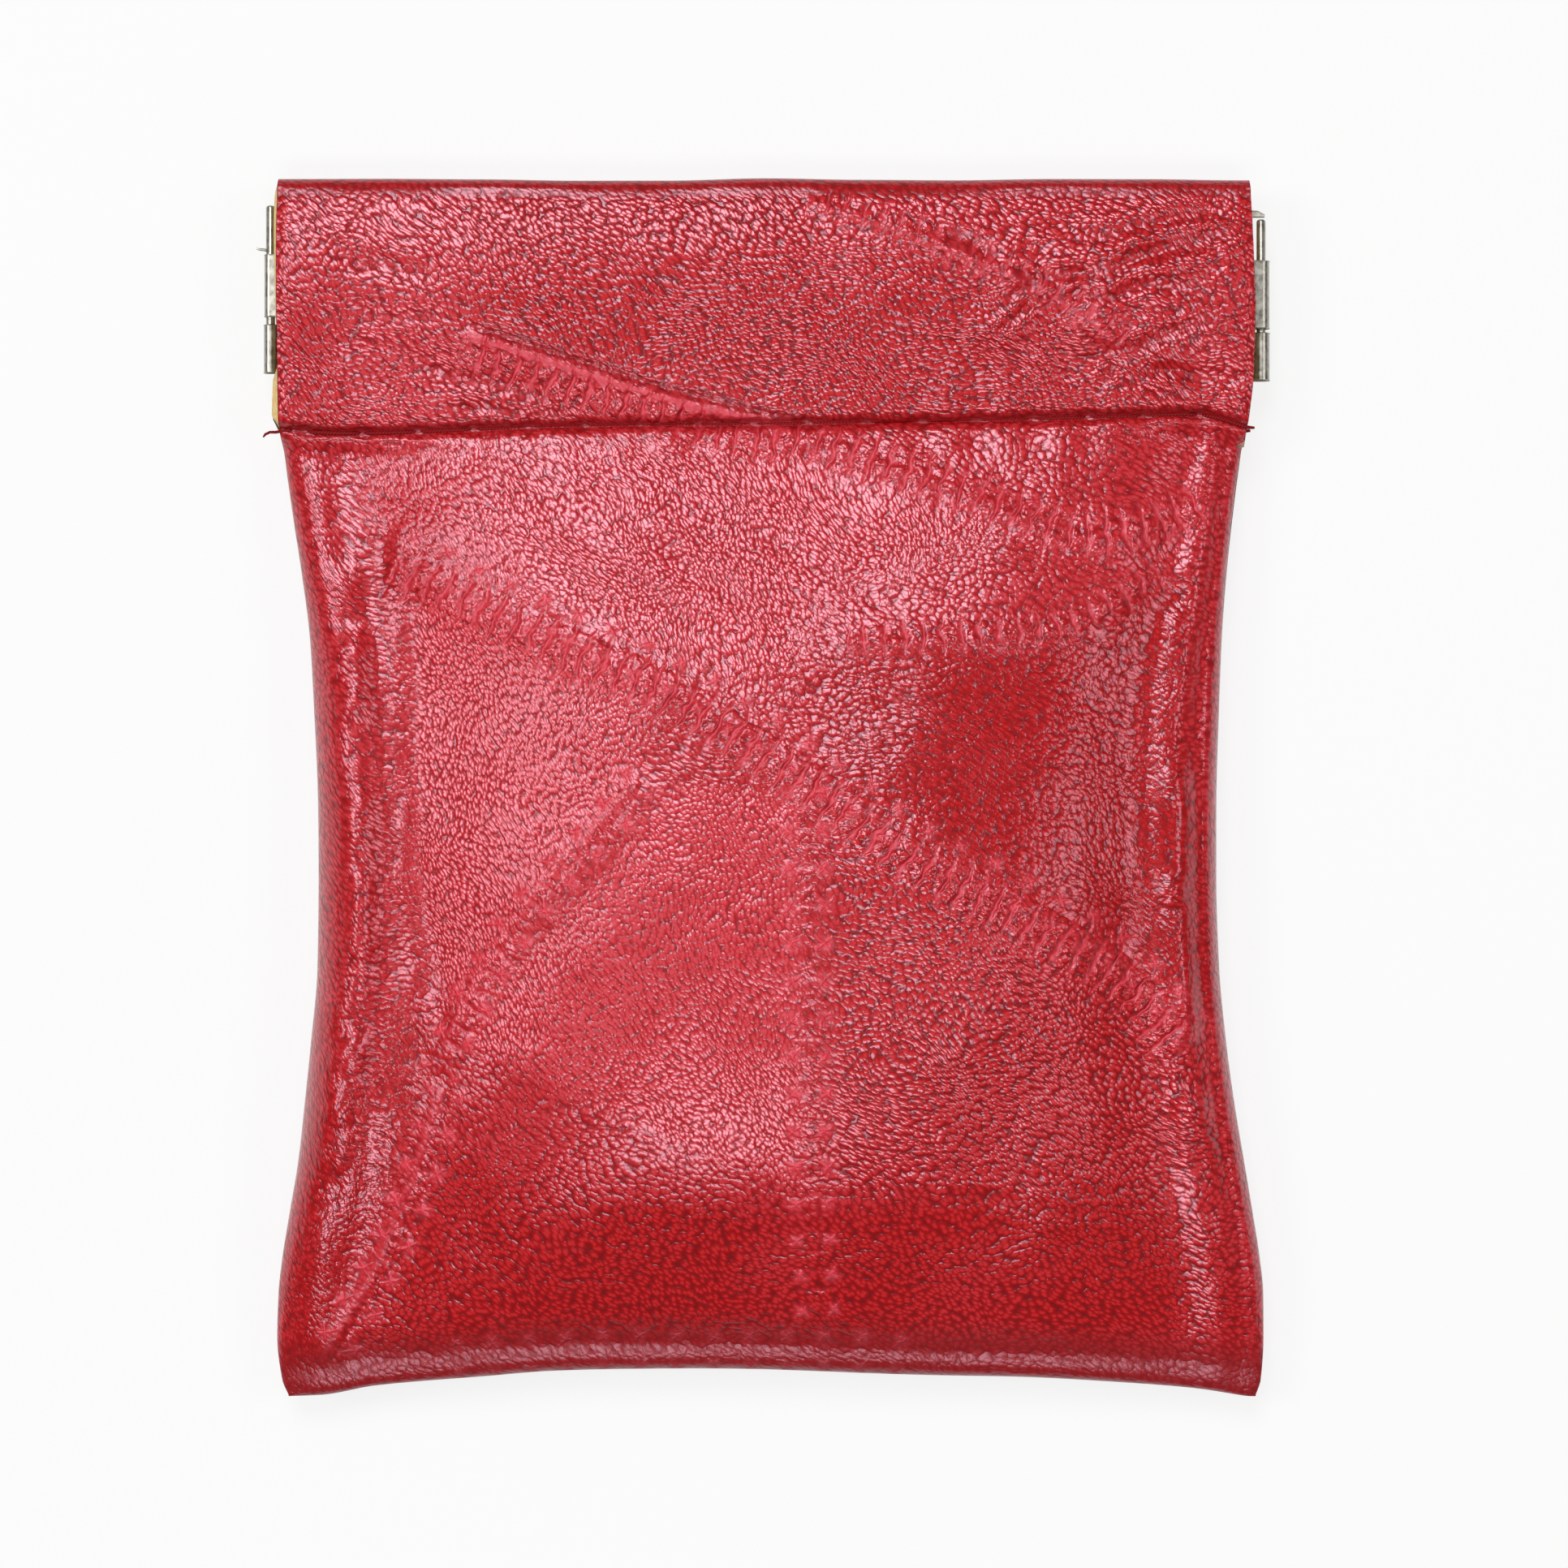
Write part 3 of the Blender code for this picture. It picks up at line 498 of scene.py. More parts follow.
def relief(sheet):
    """Height of the leather's folds, dents and creases above its plain shape, in millimetres."""
    x, v, level = sheet["x"], sheet["v"], sheet["level"]
    outside = rows_in(sheet, *OUTSIDE)
    edge = edge_at(x, level) - np.abs(x)
    height = sum(size * noise(x, v, scale, seed) for size, scale, seed in LUMPS)
    height = height * fade(edge, 0, LUMPS_FROM_EDGE) * fade(sheet["rise"], 0, LUMPS_FROM_FOOT)
    if sheet["face"] == "back":
        flat = fade(np.abs(sheet["depth"] - PARTING_Z), *BACK_FLAT)
        return np.where(outside, np.minimum(height, mix(height, 0.0, flat)), 0.0)

    # Stitch line: a dimple at each needle hole, and puckers above and below it
    holes = np.cos(2 * math.pi * (x - STITCH_START) / STITCH_PITCH)
    for (deep, centre, wide), share in ((HOLES, fade(holes, *HOLE_RANGE)), (PUCKERS_ABOVE, holes),
                                        (PUCKERS_BELOW, holes * fade(edge, 0, PUCKER_EDGE))):
        height -= deep * bell(level - STITCH_V, centre, wide) * share

    beads = bell(edge, *BEAD_PLACE) * fade(v, *BEAD_FOOT) * fade(v, *BEAD_TOP)
    height += BEAD_HEIGHT * beads * noise(x, v, *BEAD_NOISE)

    spread = noise(x / WRINKLE_STRETCH + WRINKLE_SLANT * v, v + WRINKLE_SLANT * x, *WRINKLE_NOISE)
    right = fade(x, *RIGHT_WRINKLES) * fade(v, *WRINKLE_FOOT) * fade(v, *RIGHT_WRINKLE_TOP)
    left = LEFT_WRINKLE_SHARE * fade(x, *LEFT_WRINKLES) * fade(v, *WRINKLE_FOOT) * fade(v, *LEFT_WRINKLE_TOP)
    uneven = WRINKLE_EVEN + WRINKLE_UNEVEN * noise(x, v, *UNEVEN_NOISE)
    height -= WRINKLE_DEPTH * bell(spread, 0, WRINKLE_WIDE) * (right + left) * uneven
    height += WRINKLE_LUMPS * noise(x, v, *WRINKLE_LUMP_NOISE) * right

    for seam, path in seam_paths():
        across, along, length = beside(path, x, v)
        ends = ends_fade(along, length, *SEAM_ENDS)
        swell = bell(across, -seam.wide * seam.below, seam.wide) * ends
        height += swell * (SEAM_SWELL + SEAM_UNEVEN * noise(x, v, *SEAM_NOISE))
        height += SEAM_RIDGE * seam.ridge * bell(across, RIDGE_OFF, RIDGE_WIDE) * ends
    uneven = CREASE_EVEN + CREASE_UNEVEN * noise(x, v, *CREASE_NOISE)
    for across, ends, deep, wide in crease_facts(x, v):
        lips = CREASE_LIP * bell(np.abs(across), LIP_OFF * wide, LIP_WIDE * wide)
        height += deep * (lips - bell(across, 0, wide)) * ends * uneven
    return np.where(outside, height, 0.0)


def seam_facts(sheet, layer):
    """For the material, for the seams of one layer: place along and across, ribs and thread marks, and the
    sheet's painted shade.
    """
    x, v = sheet["x"], sheet["v"]
    closest = np.zeros(x.shape)
    facts = np.zeros((5, *x.shape))
    facts[1] = FAR
    for seam, path in seam_paths() if sheet["face"] == "front" else ():
        if seam.layer == layer:
            off, run, length = beside(path, x, v)
            ends = ends_fade(run, length, *MARK_ENDS) * rows_in(sheet, *OUTSIDE)
            ribs = seam.ribs * bell(off, -seam.wide * seam.below, seam.wide) * ends
            ends = ends * fade(np.abs(off), *MARK_RANGE)
            close = np.exp(-np.abs(off))
            found = np.stack([run * RIB_PITCH / seam.pitch, off, ribs, seam.marks * ends, seam.ridge * ends])
            facts = np.where(close > closest, found, facts)
            closest = np.maximum(close, closest)
    along, across, ribs, marks, ridge = facts
    return np.stack([along, across, ribs], axis=-1), np.stack([marks, ridge, painted_shade(sheet)], axis=-1)


def painted_shade(sheet):
    """For the material: painted shade, how far the leather's colour is darkened where shade falls at the
    stitch line, foot, rim, fold, cuff's lap and creases.
    """
    x, v, level = sheet["x"], sheet["v"], sheet["level"]
    share = np.maximum(STITCH_DARK * bell(level - STITCH_V, *STITCH_DARK_PLACE),
                       FOOT_DARK * fade(sheet["rise"], *FOOT_DARK_RANGE))
    share = np.maximum(share, RIM_DARK * fade(level, *RIM_DARK_RANGE))
    if sheet["face"] == "front":
        lap = SEAMS["cuff_patch"]
        across, along, _ = beside(drawn(lap.pixels, lap.z), x, v)
        share = np.maximum(share, LAP_DARK * bell(across, *LAP_DARK_PLACE) * fade(along, 0, LAP_DARK_START))
        for across, ends, deep, wide in crease_facts(x, v):
            share = np.maximum(share, CREASE_DARK * max(deep, 0.0) * bell(across, 0, wide) * ends)
    share = np.clip(share, 0, 1) * rows_in(sheet, *OUTSIDE)
    return np.where(rows_in(sheet, "fold"), FOLD_DARK, share)


def inside_outline(outline, x, v):
    """How far inside a closed outline each place is, negative outside."""
    inside = np.zeros(np.shape(x), bool)
    ring = outline + outline[:1]
    for (ax, av), (bx, bv) in zip(ring[:-1], ring[1:]):
        crosses = (av > v) != (bv > v)
        if av != bv:
            inside ^= crosses & (x < (bx - ax) * (v - av) / (bv - av) + ax)
    distance = np.abs(beside(ring, x, v)[0])
    return np.where(inside, distance, -distance)


def patch_facts(sheet):
    """For the material: how pink, how steeply grained and how strongly grained the leather is; the pinkness
    is partly the leather's own colour and partly painted sheen and painted shade.
    """
    x, v = sheet["x"], sheet["v"]
    facts = [np.full(x.shape, value) for value in PLAIN_PATCH]
    for pixels, z, blur, *values in PATCHES if sheet["face"] == "front" else ():
        outline = [place(px, py, z) for px, py in pixels]
        weight = smooth(0.5 + inside_outline(outline, x, v) / blur)
        facts = [mix(fact, value, weight) for fact, value in zip(facts, values)]
    return np.stack(facts, axis=-1)


MAP_MILLIMETRES = 100
MAP_STARTS = {"front": 0.5, "back": 2.5}


def flat_map(plain, sheet):
    """Each point's place on the leather laid flat, for the grain."""
    up, across = [np.linalg.norm(np.diff(plain, axis=axis), axis=-1) for axis in (0, 1)]
    map_v = np.pad(np.cumsum(up, axis=0), ((1, 0), (0, 0))) + bottom_edge(sheet["x"][0])
    map_u = np.pad(np.cumsum(across, axis=1), ((0, 0), (1, 0)))
    map_u -= map_u[:, sheet["middle"]][:, None]
    return np.stack([map_u, map_v], axis=-1) / MAP_MILLIMETRES + MAP_STARTS[sheet["face"]]


def build_half(face, step):
    """Finished grid of a half: grain side, flesh side, normals, map and facts."""
    sheet = half_sheet(face, step)
    plain = to_world(face, sheet["x"], sheet["v"], sheet["depth"])
    normals = grid_normals(plain, face)
    outer = plain + relief(sheet)[..., None] * normals
    if face == "back":
        outer[..., 2] = np.maximum(outer[..., 2], 0.0)
    below, side_ends = slice(sheet["split"] + 1), [0, -1]
    outer[below, side_ends] = plain[below, side_ends]
    shaded = grid_normals(outer, face)
    for c in side_ends:
        shaded[below, c, 2] = 0
    shaded /= np.maximum(np.linalg.norm(shaded, axis=-1, keepdims=True), 1e-9)
    inner = plain - LEATHER * normals
    closed, opened = slice(sheet["stitch"] + 1), slice(sheet["stitch"] + 1, None)
    keep_out = np.maximum if face == "front" else np.minimum
    inner[closed, :, 2] = keep_out(inner[closed, :, 2], PARTING_Z)
    for c, sign, reach in ((0, -1, LEFT_CUT_REACH), (-1, 1, RIGHT_CUT_REACH)):
        inner[opened, c, 0] = outer[opened, c, 0] + sign * curve(reach)(sheet["v"][opened, c])
    facts = {"patch": patch_facts(sheet)}
    for layer in (1, 2):
        facts["seam_%d" % layer], facts["marks_%d" % layer] = seam_facts(sheet, layer)
    sheet.update(outer=outer, inner=inner, normals=shaded, inner_normals=-normals,
                 map=flat_map(plain, sheet), facts=facts)
    return sheet


# Meshes from the grid

GRAIN_SIDE, FLESH_SIDE, CUT_EDGE = 0, 1, 2
SIDE_ARRAYS = {GRAIN_SIDE: ("outer", "normals"), FLESH_SIDE: ("inner", "inner_normals")}
FACTS = ("patch", "seam_1", "seam_2", "marks_1", "marks_2")


class Skin:
    """Collects the points and faces of one mesh."""

    def __init__(self):
        self.points, self.normals, self.maps, self.facts = [], [], [], []
        self.faces, self.kinds = [], []
        self.known = {}

    def add(self, point, normal, flat, facts):
        self.points.append(point)
        self.normals.append(normal)
        self.maps.append(flat)
        self.facts.append(facts)
        return len(self.points) - 1

    def point(self, sheet, r, c, side):
        key = (sheet["face"], r, c, side)
        if key not in self.known:
            points, normals = SIDE_ARRAYS[side]
            facts = [sheet["facts"][name][r, c] for name in FACTS]
            self.known[key] = self.add(sheet[points][r, c], sheet[normals][r, c], sheet["map"][r, c], facts)
        return self.known[key]

    def face(self, corners, kind, flip=False):
        self.faces.append(corners[::-1] if flip else corners)
        self.kinds.append(kind)

    def tube(self, rings, kind):
        """Closes a row of rings of points to a solid."""
        count = len(rings[0])
        for near, far in zip(rings[:-1], rings[1:]):
            for k in range(count):
                after = (k + 1) % count
                self.face([near[k], near[after], far[after], far[k]], kind)
        self.face(rings[0][::-1], kind)
        self.face(rings[-1], kind)


def add_cells(skin, sheet, cells, rims):
    """Adds cells of a grid, fine on the grain side and half as fine on the flesh side, with cut rims."""
    flip = sheet["face"] == "back"

    def corners(side, *places):
        return [skin.point(sheet, r, c, side) for r, c in places]

    for r, c in zip(*[indices.tolist() for indices in np.nonzero(cells)]):
        skin.face(corners(GRAIN_SIDE, (r, c), (r, c + 1), (r + 1, c + 1), (r + 1, c)), GRAIN_SIDE, flip)
        if r % 2 == 0 and c % 2 == 0:
            skin.face(corners(FLESH_SIDE, (r, c), (r + 2, c), (r + 2, c + 2), (r, c + 2)), FLESH_SIDE, flip)
    for (r, c), (up, along), count, turn in rims:
        for index in range(0, count, 2):
            here, half, there = [(r + up * step, c + along * step) for step in (index, index + 1, index + 2)]
            rim = corners(GRAIN_SIDE, here, half, there) + corners(FLESH_SIDE, there, here)
            skin.face(rim, CUT_EDGE, flip != turn)


def panel_skin(sheet):
    """The whole half except the side pieces, with its bottom edge, hem and cuff ends."""
    rows, last = sheet["x"].shape[0] - 1, sheet["x"].shape[1] - 1
    band, stitch = sheet["band"], sheet["stitch"]
    cells = np.ones((rows, last), bool)
    cells[:stitch, :band] = False
    cells[:stitch, last - band:] = False
    skin = Skin()
    add_cells(skin, sheet, cells, [
        ((0, band), (0, 1), last - 2 * band, False), ((rows, 0), (0, 1), last, True),
        ((stitch, 0), (1, 0), rows - stitch, True), ((stitch, last), (1, 0), rows - stitch, False)])
    return skin


def side_skin(front, back, side):
    """The side piece: a band of the front and one of the back, one sheet up to where the mouth parts them."""
    skin = Skin()
    for sheet in (front, back):
        rows, last = sheet["x"].shape[0] - 1, sheet["x"].shape[1] - 1
        band, stitch, split = sheet["band"], sheet["stitch"], sheet["split"]
        first, end = (0, 0) if side < 0 else (last - band, last)
        cells = np.zeros((rows, last), bool)
        cells[:stitch, first:first + band] = True
        add_cells(skin, sheet, cells, [((0, first), (0, 1), band, False),
                                       ((split, end), (1, 0), stitch - split, side < 0)])
    return skin


def working_mesh(skin):
    """A bmesh of a skin, its facts in layers, ready to be cut."""
    work = bmesh.new()
    shade = work.verts.layers.float_vector.new("shade")
    layers = [work.verts.layers.float_vector.new(name) for name in FACTS]
    for co in skin.points:
        work.verts.new(co * MM)
    for vertex, normal, facts in zip(work.verts, skin.normals, skin.facts):
        vertex[shade] = normal
        for layer, fact in zip(layers, facts):
            vertex[layer] = fact
    work.verts.ensure_lookup_table()
    uv = work.loops.layers.uv.new("leather_map")
    for corners, kind in zip(skin.faces, skin.kinds):
        face = work.faces.new([work.verts[corner] for corner in corners])
        face.material_index = kind
        face.smooth = True
        for loop, corner in zip(face.loops, corners):
            loop[uv].uv = skin.maps[corner]
    return work


def add_object(name, data):
    made = bpy.data.objects.new(name, data)
    bpy.context.collection.objects.link(made)
    return made


def read(items, attribute, kind=np.int32, width=1):
    values = np.zeros(len(items) * width, kind)
    items.foreach_get(attribute, values)
    return values.reshape(-1, width) if width > 1 else values


def finished_piece(name, work, looks, closed=False):
    """A scene object from a bmesh, with the shading normals that the whole sheet had before it was cut."""
    if closed:
        bmesh.ops.recalc_face_normals(work, faces=work.faces)
    mesh = bpy.data.meshes.new(name)
    work.to_mesh(mesh)
    work.free()
    for look in looks:
        mesh.materials.append(look)
    shade = read(mesh.attributes["shade"].data, "vector", np.float32, 3)
    owner = np.repeat(np.arange(len(mesh.polygons)), read(mesh.polygons, "loop_total"))
    normals = shade[read(mesh.loops, "vertex_index")]
    rim = read(mesh.polygons, "material_index")[owner] == CUT_EDGE
    normals[rim] = read(mesh.polygons, "normal", np.float32, 3)[owner][rim]
    normals = normals / np.maximum(np.linalg.norm(normals, axis=1, keepdims=True), 1e-9)
    mesh.normals_split_custom_set(normals.tolist())
    mesh.attributes.remove(mesh.attributes["shade"])
    return add_object(name, mesh)


def fold_plane(side, fold):
    """A point of the upright plane through a fold line, and its direction towards the side."""
    foot = Vector((side * PIN_X, -HEIGHT / 2, PARTING_Z)) * MM
    return foot, Vector((side, FAN * fold, 0)).normalized()


def cut_panel(sheet, looks):
    """A half in four pieces, cut along the middle and between the two fold lines of each side."""
    whole = working_mesh(panel_skin(sheet))
    planes = [(Vector((0, 0, 0)), Vector((1, 0, 0)))] if sheet["face"] == "back" else []
    for foot, away in planes + [fold_plane(side, MIDDLE_FOLD) for side in (-1, 1)]:
        bmesh.ops.bisect_plane(whole, geom=list(whole.verts) + list(whole.edges) + list(whole.faces),
                               plane_co=foot, plane_no=away, dist=1e-8)
    pieces = {}
    for name, side in SIDES.items():
        foot, away = fold_plane(side, MIDDLE_FOLD)
        for part in ("middle", "outer"):
            piece = whole.copy()
            unwanted = []
            for face in piece.faces:
                centre = face.calc_center_median()
                outside = (centre - foot).dot(away) > 0
                if centre.x * side < 0 or outside != (part == "outer"):
                    unwanted.append(face)
            bmesh.ops.delete(piece, geom=unwanted, context="FACES")
            title = "%s_leather_%s_%s" % (sheet["face"], name, part)
            pieces[name, part] = finished_piece(title, piece, looks)
    whole.free()
    return pieces


def stretch_bodies(face, name, part):
    """The bodies that a stretch lies on, from the middle out, and the fold between them."""
    inner = "%s_%s_inner" % (face, name)
    if part == "outer":
        return inner, "%s_%s_outer" % (face, name), FIRST_FOLD
    return "back_mid" if face == "back" else "front_%s_mid" % name, inner, SECOND_FOLD


def shown_bodies(face, name, part):
    """The bodies whose solids a stretch stands for."""
    bodies = stretch_bodies(face, name, part)[:2]
    return bodies[1:] if part == "outer" else bodies


def bend(piece, face, name, part):
    """Finds the fold line of a piece's stretch but does not bend the piece: it only bakes the piece's
    placement into its mesh.
    """
    first, second, fold = stretch_bodies(face, name, part)
    foot, away = fold_plane(SIDES[name], fold)
    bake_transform(piece)


# Thin strips under the borders between stretches, which show where a bend draws the stretches apart

WELT_SINK, WELT_THICK, WELT_TOP = 0.16, 0.4, 60.0
WELT_REACHES = {"middle": (0.8, 2.2), "outer": (0.6, 1.2)}
WELT_STEPS = 7
WELT_FROM_EDGE, WELT_LEAST = 0.25, 0.15


def make_welt(sheet, name, part, looks):
    """A closed strip just under the grain side, along the border of a stretch."""
    inward, outward = WELT_REACHES[part]
    side, skin, rings = SIDES[name], Skin(), []
    for r in range(0, sheet["split"] + 1, 2):
        v = sheet["level"][r, 0]
        edge = edge_at(side, v)
        border = fold_x(side, MIDDLE_FOLD, v) if part == "middle" else side * (edge - band_width(side, v))
        reach = min(outward, edge - WELT_FROM_EDGE - abs(border))
        if v > WELT_TOP or reach < WELT_LEAST:
            continue
        places = border + side * np.linspace(-inward, reach, WELT_STEPS)
        arrays = [sheet["outer"], sheet["normals"], sheet["map"]] + [sheet["facts"][fact] for fact in FACTS]
        top, normal, flat, *facts = [
            np.stack([np.interp(places, sheet["x"][r], column) for column in values[r].T], -1)
            for values in arrays]
        ring = []
        for sink, turn in ((WELT_SINK, 1), (WELT_SINK + WELT_THICK, -1)):
            for k in range(WELT_STEPS)[::turn]:
                point = top[k] - sink * normal[k]
                ring.append(skin.add(point, turn * normal[k], flat[k], [fact[k] for fact in facts]))
        rings.append(ring)
    skin.tube(rings, GRAIN_SIDE)
    return finished_piece("%s_welt_%s_%s" % (sheet["face"], name, part), working_mesh(skin), looks, True)


def make_leather(looks):
    """Makes the ten stretches and their welts, and hides the model's leather parts that the front and back
    stretches stand for.
    """
    front = build_half("front", GRID)
    back = build_half("back", COARSE_GRID)
    for sheet in (front, back):
        face = sheet["face"]
        pieces = cut_panel(sheet, looks)
        for (name, part), piece in pieces.items():
            bodies = shown_bodies(face, name, part)
            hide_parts(*[body.replace(face, face + "_leather") for body in bodies])
            for made in (piece, make_welt(sheet, name, part, looks)):
                bend(made, face, name, part)
    for name, side in SIDES.items():
        work = working_mesh(side_skin(front, back, side))
        bmesh.ops.remove_doubles(work, verts=work.verts, dist=1e-6)
        piece = finished_piece("side_leather_%s" % name, work, looks)
        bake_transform(piece)


# Edges turned inside along the bottom seam, which keep it closed to the eye as the halves part: start, end,
# rise above the bottom edge, lowest and highest depth, leather left above them, body

TURNS = {
    "front_turned_edge_left": (-36.0, 0.12, 1.05, -0.95, 0.9, 0.45, "front_left_mid"),
    "front_turned_edge_right": (-0.12, 36.0, 1.05, -0.95, 0.9, 0.45, "front_right_mid"),
    "back_turned_edge": (-36.0, 36.0, 1.55, -1.2, 0.8, 0.85, "back_mid"),
}
TURN_THICK = 0.34
TURN_STATIONS = 29
TURN_FLOOR = 0.45


def make_turned_edges(leather, suede):
    plain = [np.array(PLAIN_PATCH)] + [np.zeros(3)] * (len(FACTS) - 1)
    for name, (start, end, rise, low, high, cover, body) in TURNS.items():
        skin, rings = Skin(), []
        for x in np.linspace(start, end, TURN_STATIONS):
            middle = float(bottom_edge(x)) + rise
            front, back = [float(belly_depth(face, x, middle, rise)) for face in FACES]
            lowest, highest = max(low, TURN_FLOOR - back), min(high, front - cover)
            ring = []
            for out, depth in ((-1, lowest), (1, lowest), (1, highest), (-1, highest)):
                v = middle + out * TURN_THICK / 2
                flat = np.array((x, v + depth)) / MAP_MILLIMETRES
                ring.append(skin.add(to_world("front", x, v, depth), (0, out, 0), flat, plain))
            rings.append(ring)
        skin.tube(rings, CUT_EDGE)
        piece = finished_piece(name, working_mesh(skin), [leather, suede, leather], True)
        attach(piece, body)


# Closed shapes in (x, v, depth)

EDGE_ROUND = 0.07
STRAND_SIDES = 8
STRAND_TWIST = (0.13, 0.31, 1.0)
SHARP_ANGLE = 35


def loft(rings, tips=()):
    """Points and faces of a shape through rings of points, each end closed flat or on a tip."""
    size = len(rings[0])
    points = [tuple(point) for ring in rings for point in ring]
    last = len(points) - size
    faces = [(start + k, start + (k + 1) % size, start + size + (k + 1) % size, start + size + k)
             for start in range(0, last, size) for k in range(size)]
    if not len(tips):
        return points, faces + [tuple(range(size))[::-1], tuple(range(last, last + size))]
    for k in range(size):
        after = (k + 1) % size
        faces += [(len(points), after, k), (len(points) + 1, last + k, last + after)]
    return points + [tuple(tip) for tip in tips], faces


def directions(path):
    along = np.gradient(path, axis=0)
    return along / np.linalg.norm(along, axis=1, keepdims=True)


def ribbon(path, low, high, thick):
    """A bent strip of some thickness along a path in (x, depth), from v low to v high, its edges rounded."""
    path = np.array(path, float)
    along = directions(path)
    half = thick / 2
    rings = []
    spans = np.broadcast_arrays(low, high, path[:, 0])[:2]
    for (x, d), (ax, ad), bottom, top in zip(path, along, *spans):
        ring = []
        for out, up in ((-1, 0), (-1, 1), (1, 1), (1, 0)):
            for inset in (0, 1) if (out < 0) != (up > 0) else (1, 0):
                offset = out * (half - (EDGE_ROUND if inset else 0))
                v = (top if up else bottom) + (0 if inset else (-EDGE_ROUND if up else EDGE_ROUND))
                ring.append((x - ad * offset, v, d + ax * offset))
        rings.append(ring)
    return loft(rings)


def turned(x, stations, count):
    """A turned shape standing along v, from (v, radius) stations; the first and last close on a point."""
    turns = np.arange(count) * 2 * math.pi / count
    rings = [[(x + radius * math.cos(turn), v, radius * math.sin(turn)) for turn in turns]
             for v, radius in stations[1:-1]]
    return loft(rings, [(x, stations[0][0], 0.0), (x, stations[-1][0], 0.0)])


def strand(path, radii):
    """A round strand along points (x, v, depth), its ends closed."""
    path = np.array(path, float)
    along = directions(path)
    side = np.cross(along, STRAND_TWIST)
    side /= np.linalg.norm(side, axis=1, keepdims=True)
    up = np.cross(side, along)
    turns = np.arange(STRAND_SIDES) * 2 * math.pi / STRAND_SIDES
    rings = [[centre + radius * (across * math.cos(turn) + above * math.sin(turn)) for turn in turns]
             for centre, across, above, radius in zip(path, side, up, radii)]
    return loft(rings, [path[0], path[-1]])


def solid(name, shapes, face, look):
    """One object from several closed shapes, with the depth of a face."""
    work = bmesh.new()
    for points, faces in shapes:
        made = [work.verts.new(to_world(face, *point) * MM) for point in points]
        for corners in faces:
            work.faces.new([made[corner] for corner in corners])
    bmesh.ops.recalc_face_normals(work, faces=work.faces)
    for polygon in work.faces:
        polygon.smooth = True
    mesh = bpy.data.meshes.new(name)
    work.to_mesh(mesh)
    work.free()
    mesh.materials.append(look)
    mesh.set_sharp_from_angle(angle=math.radians(SHARP_ANGLE))
    made = add_object(name, mesh)
    return made


# Hinges

STRIP_DEPTH = 1.45
STRIP_THICK = 0.34
STRIP_LOW, STRIP_HIGH = 80.3, 93.9
HINGE_SHIFT = 0.02
# Knuckles: lowest and highest v, radius to the middle of the wall, thickness of the wall
KNUCKLES = {
    ("left", "front"): (85.35, 90.3, 0.47, 0.12), ("left", "back"): (80.9, 84.75, 0.51, 0.16),
    ("right", "front"): (84.4, 89.8, 0.59, 0.26), ("right", "back"): (80.3, 84.1, 0.60, 0.28),
}
KNUCKLE_TURN, KNUCKLE_STEPS = 300, 24
# Paths as (distance inside the pin's line, depth); the depths of TONGUE_PATH are above the knuckle's radius
LEAF_PATH = [(4.4, STRIP_DEPTH), (2.9, STRIP_DEPTH), (2.4, STRIP_DEPTH - 0.1), (1.8, STRIP_DEPTH - 0.42),
             (1.35, 0.66)]
TONGUE_START = (2.0, STRIP_DEPTH - 0.22)
TONGUE_PATH = [(1.55, 0.16), (1.1, 0.01), (0.4, 0.0)]
LIP_PATH = [(1.6, 0.72), (0.9, 0.55), (0.2, 0.5), (-0.35, 0.48)]
LIP_LOW, LIP_HIGHS, LIP_THICK = 93.3, [93.9, 93.9, 93.85, 93.55], 0.3
PIN_RADIUS, PIN_SIDES = 0.36, 28
PIN_SPAN = {"left": (81.1, 94.2), "right": (80.5, 93.1)}
# The burr at the top of the left pin's knuckle: points and radii
BURR = [(-39.4, 90.62, 0.1), (-39.8, 90.68, 0.12), (-40.1, 90.7, 0.12), (-40.35, 90.78, 0.1)]
BURR_RADII = [0.12, 0.12, 0.1, 0.06]


def placed(path, side):
    return [(side * (PIN_X - inside), depth) for inside, depth in path]


def make_hinges(steel):
    leaf_start = [(FAN * (STRIP_LOW + STRIP_HIGH) / 2, STRIP_DEPTH)]
    turns = np.radians(KNUCKLE_TURN * np.arange(KNUCKLE_STEPS + 1) / KNUCKLE_STEPS)
    for name, side in SIDES.items():
        for face in FACES:
            low, high, radius, wall = KNUCKLES[name, face]
            tongue = [TONGUE_START] + [(inside, radius + depth) for inside, depth in TONGUE_PATH]
            roll = [(-HINGE_SHIFT - radius * math.sin(turn), radius * math.cos(turn)) for turn in turns]
            shapes = [ribbon(placed(leaf_start + LEAF_PATH, side), STRIP_LOW, STRIP_HIGH, STRIP_THICK),
                      ribbon(placed(tongue + roll, side), low, high, wall)]
            if face == "back":
                shapes.append(ribbon(placed(LIP_PATH, side), LIP_LOW, LIP_HIGHS, LIP_THICK))
            piece = solid("%s_strip_end_%s" % (face, name), shapes, face, steel)
            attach(piece, "%s_%s_outer" % (face, name))
            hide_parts("%s_strip_%s_outer" % (face, name))
        low, high = PIN_SPAN[name]
        stations = [(low, 0.0), (low, PIN_RADIUS - 0.08), (low + 0.08, PIN_RADIUS), (high - 0.2, PIN_RADIUS),
                    (high - 0.07, PIN_RADIUS * 0.82), (high - 0.01, PIN_RADIUS * 0.45), (high, 0.0)]
        shapes = [turned(side * (PIN_X + HINGE_SHIFT), stations, PIN_SIDES)]
        if name == "left":
            shapes.append(strand(BURR, BURR_RADII))
        pin = solid("hinge_pin_%s" % name, shapes, "front", steel)
        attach(pin, "back_%s_outer" % name)
        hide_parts("%s_pin" % name)


# Threads

